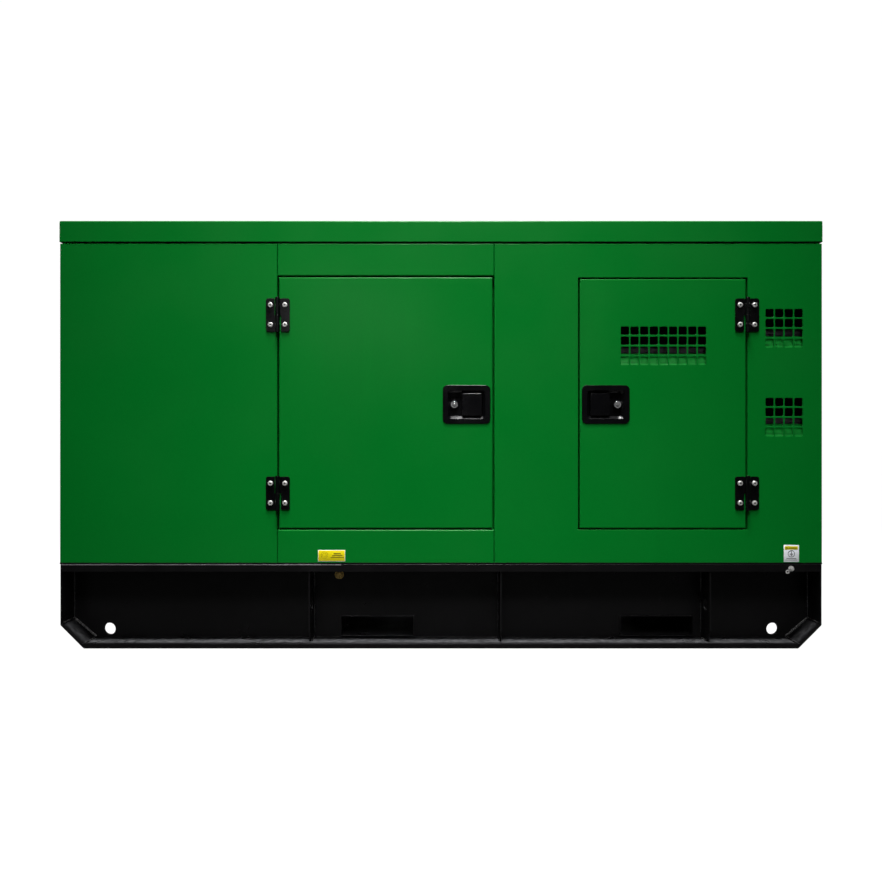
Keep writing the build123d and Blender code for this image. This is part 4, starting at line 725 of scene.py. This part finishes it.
bm = bmesh.new()
pads = []
for side in (-1, 1):
    y_low, y_high = sorted((side * LINING_Y, side * PAD_FACE_Y))
    for x_low, x_high, z_low, z_high in (
        (-1.140, -0.700, WALL_FOOT_Z, WALL_HEAD_Z),
        (-0.678, -0.505, WALL_FOOT_Z, WALL_HEAD_Z),
        (-0.482, 0.150, 1.132, WALL_HEAD_Z),
        (-0.482, 0.150, WALL_FOOT_Z, SILL_HEAD_Z),
        (0.172, 0.400, WALL_FOOT_Z, WALL_HEAD_Z),
    ):
        pads.append(((x_low, y_low, z_low), (x_high, y_high, z_high), (1, -side)))
pads += [
    ((0.172, PAD_FACE_Y, WALL_FOOT_Z), (0.930, LINING_Y, WALL_HEAD_Z), (1, -1)),
    ((0.430, -LINING_Y, 1.130), (0.910, -PAD_FACE_Y, WALL_HEAD_Z), (1, 1)),
    ((0.430, -LINING_Y, WALL_FOOT_Z), (0.910, -PAD_FACE_Y, SILL_HEAD_Z), (1, 1)),
    ((-1.1465, -0.440, WALL_FOOT_Z), (-1.120, 0.440, WALL_HEAD_Z), (0, 1)),
    ((-1.080, -0.455, 1.236), (-0.700, -0.400, 1.275), (2, -1)),
    ((-0.680, -0.455, 1.250), (1.110, 0.455, ROOF_UNDER_Z), (2, -1)),
    ((-0.687, -0.440, 0.330), (-0.672, -0.292, 1.190), (0, 1)),
]
for number, (low, high, axis) in enumerate(pads):
    add_pad(bm, low, high, axis, seed=number * 3.7)
place("wall_foam", bm, "foam")

# Baffles behind the vent scoops and the end inlets: they stop the view into the set.
BAFFLE_HEAD_Z = 1.205
bm = bmesh.new()
for side in (-1, 1):
    ys = sorted((side * 0.380, side * 0.400))
    add_pad(bm, (0.940, ys[0], 0.560), (1.1455, ys[1], BAFFLE_HEAD_Z), (1, side), seed=40 + side)
add_pad(bm, (0.985, -0.379, 0.440), (1.010, 0.379, BAFFLE_HEAD_Z), (0, 1), seed=44)
place("inlet_baffles", bm, "foam")

# Foam strips on the inner part of each vent scoop's rising floor. They are dark to stand in for the
# shade there: foam lining and painted shade.
SCOOP_RISE = 0.0682
SCOOP_DEPTH = 0.0580
SCOOP_LIFT = 0.0032
LINING_FROM, LINING_TO = 0.0390, 0.0570
DOOR_VENT = (0.670, 0.911)
PANEL_VENTS = ((1.033, 0.964), (1.033, 0.696))


def add_scoop_shade_lining(bm, side, centre, half_width, seed):
    """Dark foam strip that follows the floor of a scoop, partly lining and partly painted shade;
    centre is (x, z) of the vent.
    """
    x, z = centre
    part = bmesh.new()
    ys = sorted((-side * (LINING_Y - LINING_FROM), -side * (LINING_Y - LINING_TO)))
    add_pad(part, (x - half_width, ys[0], 0.0), (x + half_width, ys[1], 0.0035), (2, 1),
            quilt=0.0012, cell=0.008, seed=seed)
    for v in part.verts:
        v.co.z += z - SCOOP_RISE + SCOOP_LIFT + (LINING_Y - abs(v.co.y)) * SCOOP_RISE / SCOOP_DEPTH
    merge(bm, part)


bm = bmesh.new()
add_scoop_shade_lining(bm, 1, DOOR_VENT, 0.150, 50.0)
# Dark pad on the back of the door scoop: painted shade behind the vent rows.
add_pad(bm, (0.518, -0.4283, 0.906), (0.822, -0.4238, 0.979), (1, 1), quilt=0.0012, seed=51)
place("door_scoop_shade_lining", bm, "foam", "front_control_door_leaf")
bm = bmesh.new()
for side in (-1, 1):
    for centre in PANEL_VENTS:
        add_scoop_shade_lining(bm, side, centre, 0.078, 52.0 + centre[1])
place("panel_scoop_shade_linings", bm, "foam")

# Each door: wall side, edges along the wall, bottom and top, way from hinge to free edge
DOOR_DATA = {
    "front_engine": (1, -0.488, 0.155, 0.361, 1.117, 1),
    "front_control": (1, 0.418, 0.918, 0.361, 1.112, -1),
    "rear_engine": (-1, -0.155, 0.488, 0.361, 1.117, -1),
}
LATCH_WIDTH = 0.144
LATCH_FOOT_Z = 0.670
LATCH_HEAD_Z = 0.798
SEAM = 0.006
DOOR_PAD = (0.0022, 0.024)
VENT_SIDES = (0.514, 0.826)
VENT_FOOT_Z = 0.830
VENT_HEAD_Z = 0.990

# Foam inside each door, in boards that leave room for the latch and the vent.
for door, (side, u_low, u_high, z_low, z_high, toward) in DOOR_DATA.items():
    bm = bmesh.new()
    if toward == 1:
        plain = (u_low + SEAM, u_high - LATCH_WIDTH)
        latch = (u_high - LATCH_WIDTH + 0.004, u_high - SEAM)
    else:
        plain = (u_low + LATCH_WIDTH, u_high - SEAM)
        latch = (u_low + SEAM, u_low + LATCH_WIDTH - 0.004)
    foot, head = z_low + SEAM, z_high - SEAM
    spans = [(latch, (foot, LATCH_FOOT_Z))]
    if door == "front_control":
        spans.append((plain, (foot, VENT_FOOT_Z)))
        spans.append(((latch[0], VENT_SIDES[0] - 0.008), (LATCH_HEAD_Z, head)))
        spans.append((VENT_SIDES, (VENT_HEAD_Z, head)))
        spans.append(((VENT_SIDES[1] + 0.008, plain[1]), (VENT_FOOT_Z + 0.004, head)))
    else:
        spans.append((latch, (LATCH_HEAD_Z, head)))
        spans.append((plain, (foot, head)))
    for number, (u, z) in enumerate(spans):
        xs = sorted(side * edge for edge in u)
        ys = sorted(-side * (WALL_Y - inset) for inset in DOOR_PAD)
        add_pad(bm, (xs[0], ys[0], z[0]), (xs[1], ys[1], z[1]), (1, side), seed=60 + number)
    place(f"{door}_door_foam", bm, "foam", f"{door}_door_leaf")

# Key plug of each lock: a bright plug with a slot, in a thin black ring. The black ring and the black
# slot are painted shade for the recess round the plug and for the keyway.
for door, (side, *rest) in DOOR_DATA.items():
    low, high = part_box(f"{door}_lock_cylinder")
    x, z = (low.x + high.x) / 2, (low.z + high.z) / 2
    face = low.y if side == 1 else high.y
    out = (0, -side, 0)
    bm = bmesh.new()
    seat = (x, face + side * 0.0001, z)
    add_band(bm, seat, out, 0.0046, 0.0064, 0.0004)
    add_knob(bm, seat, out, [(0.0042, 0), (0.0042, 0.0008), (0.0036, 0.0012)], index=1)
    ys = sorted((face - side * 0.0009, face - side * 0.0013))
    # Painted shade: a black bar stands for the keyway.
    add_box(bm, (x - 0.0006, ys[0], z - 0.0026), (x + 0.0006, ys[1], z + 0.0026), 0.0001, 1, 0)
    place(f"{door}_key_plug", bm, ["ink", "chrome"], f"{door}_cylinder")

# ---------------- Engine bay details

# V belt round the crank, fan and charging pulleys. Each pulley is y, z and radius.
BELT_X = -0.4685
BELT_SECTION = ((-0.0045, 0.0035), (0.0045, 0.0035), (0.0030, -0.0040), (-0.0030, -0.0040))
PULLEYS = ((0.0, SHAFT_Z, 0.069), (0.0, FAN_Z, 0.057), (-0.200, 0.640, 0.030))
cloud = [(y + c, z + s) for y, z, radius in PULLEYS for c, s in circle(radius, 96)]


def hull(points):
    """Convex outline of points, as a loop."""
    points = sorted(set(points))

    def half(seq):
        chain = []
        for p in seq:
            while len(chain) > 1 and (
                (chain[-1][0] - chain[-2][0]) * (p[1] - chain[-2][1])
                - (chain[-1][1] - chain[-2][1]) * (p[0] - chain[-2][0])
            ) <= 0:
                chain.pop()
            chain.append(p)
        return chain[:-1]

    return half(points) + half(reversed(points))


loop = hull(cloud)
bm = bmesh.new()
rings = []
count = len(loop)
for k, (y, z) in enumerate(loop):
    ty = loop[(k + 1) % count][0] - loop[k - 1][0]
    tz = loop[(k + 1) % count][1] - loop[k - 1][1]
    size = math.hypot(ty, tz)
    ny, nz = tz / size, -ty / size
    rings.append([bm.verts.new((BELT_X + dx, y + ny * h, z + nz * h)) for dx, h in BELT_SECTION])
for a, b in zip(rings, rings[1:] + rings[:1]):
    bridge(bm, a, b)
place("fan_belt", bm, "rubber")

# Hoses with clips, radius first: top and bottom of the radiator, and the breather.
HOSES = (
    (0.022, ((-0.410, 0.060, 0.822), (-0.455, 0.060, 0.835), (-0.480, 0.060, 0.935),
             (-0.545, 0.060, 0.935), (-0.606, 0.060, 0.912))),
    (0.022, ((-0.430, 0.085, 0.470), (-0.490, 0.150, 0.420), (-0.550, 0.200, 0.350),
             (-0.606, 0.200, 0.345))),
    (0.012, ((-0.300, -0.060, 0.915), (-0.330, -0.060, 0.960), (-0.280, -0.060, 0.985))),
)
bm = bmesh.new()
clips = bmesh.new()
for radius, points in HOSES:
    add_tube(bm, points, radius, steps=16, rounds=4)
    for a, b in ((points[0], points[1]), (points[-1], points[-2])):
        start = Vector(a).lerp(Vector(b), 0.22)
        axis = Vector(b) - Vector(a)
        add_band(clips, start, axis, radius * 0.9, radius + 0.0012, 0.009, steps=24)
place("coolant_hoses", bm, "rubber")
place("hose_clips", clips, "steel")

# Injection pump's outlets, the injector lines that start there, and the dipstick.
UP = (0, 0, 1)
OUTLETS = [-0.330 + 0.03 * k for k in range(4)]
LINE_RADIUS = 0.0035
INJECTOR_NUT = [(0.012, 0), (0.012, 0.012), (0.007, 0.014), (0.007, 0.026)]
bm = bmesh.new()
for k, start_x in enumerate(OUTLETS):
    x = -0.340 + 0.095 * k
    line = ((start_x, -0.150, 0.690), (start_x, -0.175, 0.760 + 0.012 * k),
            (x, -0.178, 0.850), (x, -0.120, 0.885), (x, -0.088, 0.868))
    add_tube(bm, line, LINE_RADIUS, steps=8)
    add_knob(bm, (x, -0.088, 0.849), UP, INJECTOR_NUT, 6)
dipstick = ((-0.180, -0.131, 0.480), (-0.185, -0.150, 0.560), (-0.185, -0.172, 0.720))
add_tube(bm, dipstick, 0.005, steps=10)
place("injector_lines", bm, "steel")

bm = bmesh.new()
add_box(bm, (-0.380, -0.176, 0.630), (-0.210, -0.130, 0.700), 0.008, 3)
add_box(bm, (-0.362, -0.186, 0.570), (-0.330, -0.130, 0.632), 0.006, 3)
for start_x in OUTLETS:
    outlet = [(0.009, 0), (0.009, 0.010), (0.006, 0.014)]
    add_knob(bm, (start_x, -0.153, 0.699), UP, outlet, 6)
place("injection_pump", bm, "cast")

FILTER_OUTLINE = [
    (0.026, 0), (0.036, 0.008), (0.038, 0.020), (0.038, 0.115), (0.034, 0.122), (0.034, 0.130),
    (0.041, 0.133), (0.041, 0.150), (0.030, 0.156),
]
bm = bmesh.new()
add_knob(bm, (-0.110, -0.185, 0.560), UP, FILTER_OUTLINE, 40)
add_box(bm, (-0.135, -0.165, 0.690), (-0.085, -0.129, 0.712), 0.004)
place("fuel_filter", bm, "plastic")

# Radius, sides and path: filter to pump, tank to filter, and the dipstick's ring handle.
FUEL_LINES = (
    (0.006, 10, ((-0.140, -0.200, 0.704), (-0.190, -0.215, 0.705), (-0.220, -0.190, 0.690),
                 (-0.225, -0.176, 0.680))),
    (0.006, 10, ((-0.080, -0.200, 0.704), (-0.030, -0.230, 0.690), (-0.010, -0.235, 0.450),
                 (-0.010, -0.235, 0.300), (-0.010, -0.240, 0.184))),
    (0.003, 8, ((-0.185, -0.172, 0.716), (-0.185, -0.174, 0.750), (-0.175, -0.190, 0.762),
                (-0.165, -0.178, 0.752), (-0.172, -0.172, 0.738))),
)
bm = bmesh.new()
for radius, steps, points in FUEL_LINES:
    add_tube(bm, points, radius, steps)
place("fuel_lines", bm, "rubber")

# Rows of five bolts along the engine: (y, z), axis, bolt radius and height.
BOLT_ROWS = (
    ((-0.078, 0.850), UP, 0.008, 0.006), ((0.078, 0.850), UP, 0.008, 0.006),
    ((-0.130, 0.745), (0, -1, 0), 0.007, 0.005), ((0.130, 0.745), (0, 1, 0), 0.007, 0.005),
    ((-0.130, 0.452), (0, -1, 0), 0.007, 0.005), ((0.130, 0.452), (0, 1, 0), 0.007, 0.005),
    ((0.160, 0.808), (0, 1, 0), 0.008, 0.006), ((-0.165, 0.806), (0, -1, 0), 0.007, 0.005),
)
# Rings of bolts round the shaft: x, radius, count, phase, bolt radius and height.
BOLT_RINGS = ((0.128, 0.196, 16, 0.0, 0.008, 0.006), (0.560, 0.160, 8, 0.5, 0.007, 0.005))
bm = bmesh.new()
for k in range(5):
    for (y, z), axis, radius, height in BOLT_ROWS:
        add_bolt(bm, (-0.380 + 0.090 * k, y, z), axis, radius, height)
for x, ring_radius, count, phase, radius, height in BOLT_RINGS:
    for y, z in circle(ring_radius, count, phase):
        add_bolt(bm, (x, y, SHAFT_Z + z), (1, 0, 0), radius, height)
place("engine_bolts", bm, "steel")

# Fan guard rings and wires, on the shroud's open side.
GUARD_X = -0.500
GUARD_FOOT_X = -0.522
GUARD_RINGS = (0.100, 0.140, 0.180, 0.216, 0.232)
bm = bmesh.new()
for radius in GUARD_RINGS:
    ring = [(GUARD_X, y, FAN_Z + z) for y, z in circle(radius, 48)]
    add_tube(bm, ring + ring[:1], 0.0018, steps=6, rounds=0)
for c, s in circle(1.0, 8, 0.5):
    spoke = [(x, r * c, FAN_Z + r * s) for x, r in (
        (GUARD_X, 0.100), (GUARD_X, 0.216), (GUARD_FOOT_X, 0.236))]
    add_tube(bm, spoke, 0.0026, steps=6, rounds=1)
place("fan_guard", bm, "dark")

# Radiator cap, side channels and stays.
bm = bmesh.new()
low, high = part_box("radiator")
mid_x = (low.x + high.x) / 2
cap = [(0.034, 0), (0.036, 0.004), (0.036, 0.010), (0.030, 0.016), (0.012, 0.018)]
add_knob(bm, (mid_x, 0, high.z - 0.001), UP, cap, 36)
place("radiator_cap", bm, "cast")

bm = bmesh.new()
for side in (-1, 1):
    ys = sorted((side * 0.2905, side * 0.298))
    add_box(bm, (mid_x - 0.024, ys[0], 0.360), (mid_x + 0.024, ys[1], 0.890), 0.002)
for k in range(5):
    z = 0.415 + 0.105 * k
    add_box(bm, (mid_x - 0.0225, -0.290, z), (mid_x + 0.0225, 0.290, z + 0.004), 0.001)
place("radiator_sides", bm, "dark")

# Battery: cell caps, strap, terminal clamps and the two heavy cables.
low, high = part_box("battery")
lid = high.z - 0.014
mid_y = (low.y + high.y) / 2
plus_x, minus_x = low.x + 0.035, high.x - 0.035
CABLE_RADIUS = 0.008
bm = bmesh.new()
for k in range(6):
    cap = [(0.013, 0), (0.013, 0.005), (0.010, 0.007)]
    add_knob(bm, (plus_x + 0.034 * k, high.y - 0.040, lid), UP, cap, 24)
add_box(bm, (low.x - 0.002, mid_y - 0.016, lid), (high.x + 0.002, mid_y + 0.016, lid + 0.006), 0.002)
place("battery_caps_and_strap", bm, "dark")
bm = bmesh.new()
for x in (plus_x, minus_x):
    clamp = (x - 0.015, low.y + 0.018, lid + 0.001), (x + 0.015, low.y + 0.052, lid + 0.0125)
    add_box(bm, *clamp, 0.003)
    add_bolt(bm, (x, low.y + 0.012, lid + 0.007), (0, -1, 0), 0.006, 0.005)
place("battery_clamps", bm, "steel")
plus_cable = (
    (plus_x, low.y + 0.012, lid + 0.006), (plus_x - 0.005, low.y - 0.030, lid + 0.020),
    (low.x - 0.040, low.y - 0.060, lid - 0.060), (0.420, 0.250, 0.330), (0.100, 0.262, 0.330),
    (-0.060, 0.245, 0.380), (-0.110, 0.226, 0.450),
)
minus_cable = (
    (minus_x, low.y + 0.012, lid + 0.006), (minus_x + 0.005, low.y - 0.040, lid + 0.015),
    (minus_x - 0.005, low.y - 0.070, lid - 0.080), (high.x - 0.050, 0.110, 0.262),
    (0.560, 0.105, 0.258), (0.512, 0.110, 0.290),
)
for name, cable, look in (("positive", plus_cable, "cable_red"), ("negative", minus_cable, "rubber")):
    bm = bmesh.new()
    add_tube(bm, cable, CABLE_RADIUS, steps=12, rounds=4)
    place(f"battery_cable_{name}", bm, look)

# Control cabinet: fascia, display, keys, lamps, gauge, screws, outlets and looms.
# Layers are heights above the fascia's face, as (outer, inner).
FASCIA_Y = -0.409
BOX_Y = -0.405
TOWARDS = (0, -1, 0)


def add_layer(bm, centre, size, layer, index=0, radius=0.002):
    """Plate on the fascia."""
    add_plate(bm, centre, size, (FASCIA_Y - layer[0], FASCIA_Y - layer[1]), index, radius)


DISPLAY = (0.600, 0.962)
BAR_LAYER = (0.0048, 0.0042)
bm = bmesh.new()
add_layer(bm, (0.670, 0.935), (0.396, 0.256), (0.0006, 0.0), 0, 0.006)
place("fascia_film", bm, "fascia")
bm = bmesh.new()
add_layer(bm, DISPLAY, (0.170, 0.112), (0.0040, 0.0004), 0, 0.005)
place("display_bezel", bm, "plastic")
bm = bmesh.new()
add_layer(bm, DISPLAY, (0.146, 0.088), (0.0044, 0.0036), 0, 0.003)
place("display_window", bm, "glass")
bm = bmesh.new()
for row, width in enumerate((0.052, 0.040, 0.046, 0.030)):
    add_layer(bm, (0.540 + width / 2, 0.990 - 0.014 * row), (width, 0.0050), BAR_LAYER, 0, 0.0008)
for k, height in enumerate((0.016, 0.028, 0.038, 0.030, 0.022)):
    centre = (0.622 + 0.0095 * k, 0.937 + height / 2)
    add_layer(bm, centre, (0.0060, height), BAR_LAYER, 1 if k == 2 else 0, 0.0008)
place("display_bars", bm, ["screen", "amber"])

KEY_BACK, KEY_FACE = FASCIA_Y - 0.0004, FASCIA_Y - 0.0036
KEYS = [(0.530 + 0.030 * k, 0.551 + 0.030 * k, 0) for k in range(5)] + [(0.722, 0.752, 1)]
bm = bmesh.new()
for x_low, x_high, index in KEYS:
    add_box(bm, (x_low, KEY_FACE, 0.862), (x_high, KEY_BACK, 0.881), 0.003, 3, index)
place("panel_keys", bm, ["cabinet", "red"])
bm = bmesh.new()
for row in range(3):
    dome = [(0, 0), (0.008, 0), (0.008, 0.003), (0.006, 0.006), (0, 0.0075)]
    add_lathe(bm, (0.735, FASCIA_Y - 0.0004, 0.990 - 0.030 * row), TOWARDS, dome, 28, 0 if row else 1)
place("panel_lamps", bm, ["lamp", "amber"])

GAUGE_X, GAUGE_Z = 0.815, 0.960
MARK_RADIUS = 0.021
MARK_LENGTH = 0.004
bm = bmesh.new()
rim = [(0.034, 0), (0.034, 0.004), (0.030, 0.007), (0.028, 0.0045)]
add_knob(bm, (GAUGE_X, FASCIA_Y - 0.0004, GAUGE_Z), TOWARDS, rim, 48)
add_knob(bm, (GAUGE_X, FASCIA_Y - 0.0046, GAUGE_Z), TOWARDS, [(0.0272, 0), (0.0272, 0.0006)], 48, 1)
place("panel_gauge", bm, ["plastic", "white"])
bm = bmesh.new()
for k in range(11):
    a = math.radians(-60 + 24 * k)
    mark = [(GAUGE_X - r * math.cos(a), FASCIA_Y - 0.0053, GAUGE_Z + r * math.sin(a))
            for r in (MARK_RADIUS, MARK_RADIUS + MARK_LENGTH)]
    add_tube(bm, mark, 0.0007, steps=6, rounds=0)
needle_y = FASCIA_Y - 0.0057
needle = ((GAUGE_X, needle_y, GAUGE_Z), (GAUGE_X - 0.015, needle_y, GAUGE_Z + 0.014))
add_tube(bm, needle, 0.0010, steps=6, rounds=0)
boss = [(0, 0), (0.003, 0), (0.003, 0.002), (0, 0.0024)]
add_lathe(bm, (GAUGE_X, FASCIA_Y - 0.0050, GAUGE_Z), TOWARDS, boss, 20)
place("gauge_marks", bm, "ink")

bm = bmesh.new()
for face_y, xs, zs, radius, height in (
    (FASCIA_Y, (0.478, 0.862), (0.813, 1.057), 0.0045, 0.003),
    (BOX_Y, (0.452, 0.888), (0.556, 0.780, 1.080), 0.006, 0.004),
):
    for x in xs:
        for z in zs:
            add_bolt(bm, (x, face_y, z), TOWARDS, radius, height)
place("cabinet_screws", bm, "steel")

SOCKET = [(0, 0), (0.028, 0), (0.030, 0.004), (0.030, 0.014), (0.026, 0.018), (0, 0.019)]
bm = bmesh.new()
add_box(bm, (0.640, BOX_Y - 0.020, 0.585), (0.860, BOX_Y, 0.690), 0.006, 3)
for x in (0.680, 0.750, 0.820):
    add_lathe(bm, (x, BOX_Y - 0.019, 0.636), TOWARDS, SOCKET, 36)
    add_box(bm, (x - 0.008, BOX_Y - 0.042, 0.660), (x + 0.008, BOX_Y - 0.020, 0.670), 0.003)
place("outlet_sockets", bm, "plastic")

# Looms from the cabinet's foot to the engine, the terminal box and the cable outlet.
GLAND_Z = 0.541
LOOMS = (
    (0.011, ((0.520, -0.300, GLAND_Z), (0.520, -0.290, 0.480), (0.440, -0.270, 0.420),
             (0.300, -0.262, 0.330), (0.150, -0.262, 0.330), (0.030, -0.262, 0.400),
             (-0.060, -0.235, 0.520), (-0.100, -0.180, 0.610))),
    (0.014, ((0.600, -0.300, GLAND_Z), (0.600, -0.280, 0.500), (0.560, -0.200, 0.600),
             (0.540, -0.060, 0.740), (0.492, 0.0, 0.767))),
    (0.014, ((0.640, -0.300, GLAND_Z), (0.640, -0.290, 0.460), (0.760, -0.220, 0.330),
             (0.950, -0.080, 0.300), (1.080, -0.030, 0.300))),
)
bm = bmesh.new()
for radius, points in LOOMS:
    add_tube(bm, points, radius, steps=12, rounds=4)
place("wiring_looms", bm, "rubber")

# Generator's terminal box: lid screws and a blank plate.
BOX_TOP_Z = 0.815
PLATE_FACE_Y = -0.140
bm = bmesh.new()
for x in (0.258, 0.472):
    for y in (-0.122, 0.122):
        add_bolt(bm, (x, y, BOX_TOP_Z), UP, 0.006, 0.004)
add_box(bm, (0.330, PLATE_FACE_Y - 0.0012, 0.730), (0.400, PLATE_FACE_Y, 0.775), 0.001)
place("terminal_box_fittings", bm, "steel")

# Exhaust: pipe clamps, bands of the silencer and the flexible section.
PIPE_Y, PIPE_Z = 0.245, 1.010
SILENCER_X, SILENCER_Z = -0.900, 0.600
RIB_PITCH = 0.009
bm = bmesh.new()
for x in (-0.300, -0.520, -0.760):
    add_band(bm, (x, PIPE_Y, PIPE_Z), (1, 0, 0), 0.029, 0.034, 0.012)
for y, outer in ((-0.330, 0.1235), (-0.216, 0.1225), (0.204, 0.1225), (0.318, 0.1235)):
    add_band(bm, (SILENCER_X, y, SILENCER_Z), (0, 1, 0), 0.118, outer, 0.012, steps=48)
place("exhaust_clamps", bm, "steel")
bm = bmesh.new()
bellows = dense((-0.350, PIPE_Y, PIPE_Z), (-0.480, PIPE_Y, PIPE_Z), RIB_PITCH / 6)
add_tube(bm, bellows, 0.033, steps=28, rounds=0,
         swell=lambda t: 1.0 + 0.09 * math.sin(2 * math.pi * t / RIB_PITCH))
place("exhaust_bellows", bm, "steel")

# Rubber lip round the cable outlet: a long opening with round corners.
LIP_X, LIP_Z = 1.1463, 0.318
LIP_REACH = (0.130, 0.011)
bm = bmesh.new()
ring = [
    (LIP_X, LIP_REACH[0] * (1 if c > 0 else -1) + c, LIP_Z + LIP_REACH[1] * (1 if s > 0 else -1) + s)
    for c, s in circle(0.0185, 64)
]
add_tube(bm, ring + ring[:1], 0.0035, steps=10, rounds=0)
place("cable_outlet_lip", bm, "rubber")

# Drip tray behind the cable outlet.
TRAY_X = (0.9300, 1.1440)
TRAY_Y = (0.2180, 0.2200)
bm = bmesh.new()
add_box(bm, (TRAY_X[0], -TRAY_Y[1], 0.2610), (TRAY_X[1], TRAY_Y[1], 0.2630), 0.0008)
for side in (-1, 1):
    ys = sorted(side * y for y in TRAY_Y)
    add_box(bm, (TRAY_X[0], ys[0], 0.2615), (TRAY_X[1], ys[1], 0.2820), 0.0008)
place("outlet_tray", bm, "dark")

# Flat screws of the end panels.
bm = bmesh.new()
for end in (-1, 1):
    for y in (-0.415, -0.210, 0.210, 0.415):
        for z in (0.285, 1.190):
            add_bolt(bm, (end * END_X, y, z), (end, 0, 0), 0.0065, 0.0008, washer=0)
place("end_panel_screws", bm, "steel")

# ---------------- Floor, light and camera

def camera_sees(tree, kind, otherwise, seen):
    """Output node fed by one shader for camera rays and by another for all the rest."""
    choose = add_node(tree, "MixShader")
    path = add_node(tree, "LightPath")
    out = add_node(tree, kind)
    tree.links.new(path.outputs["Is Camera Ray"], choose.inputs[0])
    tree.links.new(otherwise.outputs[0], choose.inputs[1])
    tree.links.new(seen.outputs[0], choose.inputs[2])
    tree.links.new(choose.outputs[0], out.inputs[0])


FLOOR_GLOW = 1.17
GLOW_SHARE = 0.86
bm = bmesh.new()
bmesh.ops.create_grid(bm, x_segments=1, y_segments=1, size=30.0)
mesh = bpy.data.meshes.new("floor")
bm.to_mesh(mesh)
bm.free()
floor = add_object("floor", mesh)
floor_mat = bpy.data.materials.new("pale_floor")
floor_mat.use_nodes = True
tree = floor_mat.node_tree
tree.nodes.clear()
coords = add_node(tree, "TexCoord").outputs["Object"]
shown = add_node(tree, "BsdfDiffuse")
pale = mix(tree, noise_node(tree, coords, 0.8, 3.0), (0.86, 0.86, 0.86), (0.92, 0.92, 0.92))
tree.links.new(pale, shown.inputs["Color"])
glow = add_node(tree, "Emission", Strength=FLOOR_GLOW)
seen = add_node(tree, "MixShader", Fac=GLOW_SHARE)
tree.links.new(shown.outputs[0], seen.inputs[1])
tree.links.new(glow.outputs[0], seen.inputs[2])
bounce = add_node(tree, "BsdfDiffuse", Color=(0.07, 0.07, 0.07, 1.0))
camera_sees(tree, "OutputMaterial", bounce, seen)
mesh.materials.append(floor_mat)

WHITE = (1.0, 1.0, 1.0, 1.0)
world = bpy.data.worlds.new("studio")
bpy.context.scene.world = world
world.use_nodes = True
tree = world.node_tree
tree.nodes.clear()
backdrop = add_node(tree, "Background", Color=WHITE, Strength=1.02)
ambient = add_node(tree, "Background", Color=WHITE, Strength=0.02)
camera_sees(tree, "OutputWorld", ambient, backdrop)


def area_light(name, location, target, size, power, spread):
    """Softbox at location, turned to target. The camera doesn't see it."""
    data = bpy.data.lights.new(name, "AREA")
    data.shape = "RECTANGLE"
    data.size, data.size_y = size
    data.energy = power
    data.spread = math.radians(spread)
    obj = add_object(name, data)
    obj.location = location
    obj.rotation_euler = (Vector(target) - Vector(location)).to_track_quat("-Z", "Y").to_euler()
    obj.visible_camera = False


# Each softbox: place, aim, size, watts, spread in degrees.
for name, *light in (
    ("overhead", (-0.03, -1.75, 6.2), (-0.03, -0.49, 0.30), (1.6, 1.0), 38.0, 42.0),
    ("front", (-0.03, -4.4, 5.3), (-0.03, -0.49, 0.20), (1.6, 1.2), 20.0, 44.0),
    ("fill", (-0.62, -3.94, 1.55), (-0.25, -0.49, 0.98), (1.0, 0.5), 0.24, 60.0),
    ("rear", (0.25, 5.0, 3.4), (0.0, 0.49, 0.60), (2.6, 1.8), 37.0, 60.0),
    ("left", (-5.6, 0.9, 3.2), (-1.15, 0.1, 0.6), (2.0, 1.6), 27.0, 50.0),
    ("right", (5.6, 0.9, 3.2), (1.15, 0.1, 0.6), (2.0, 1.6), 27.0, 50.0),
):
    area_light(f"{name}_softbox", *light)

EYE_HEIGHT = 0.624
EYE_DISTANCE = 2.788
HALF_VIEW = math.radians(30.0)
SENSOR = 36.0
camera_data = bpy.data.cameras.new("camera")
camera_data.sensor_width = SENSOR
camera_data.lens = SENSOR / 2 / math.tan(HALF_VIEW)
camera_data.clip_start = 0.05
camera_data.clip_end = 100.0
camera = add_object("camera", camera_data)
camera.location = (0.0, -EYE_DISTANCE, EYE_HEIGHT)
camera.rotation_euler = (math.radians(90.0), 0.0, 0.0)
bpy.context.scene.camera = camera
bpy.context.scene.view_settings.view_transform = "Standard"
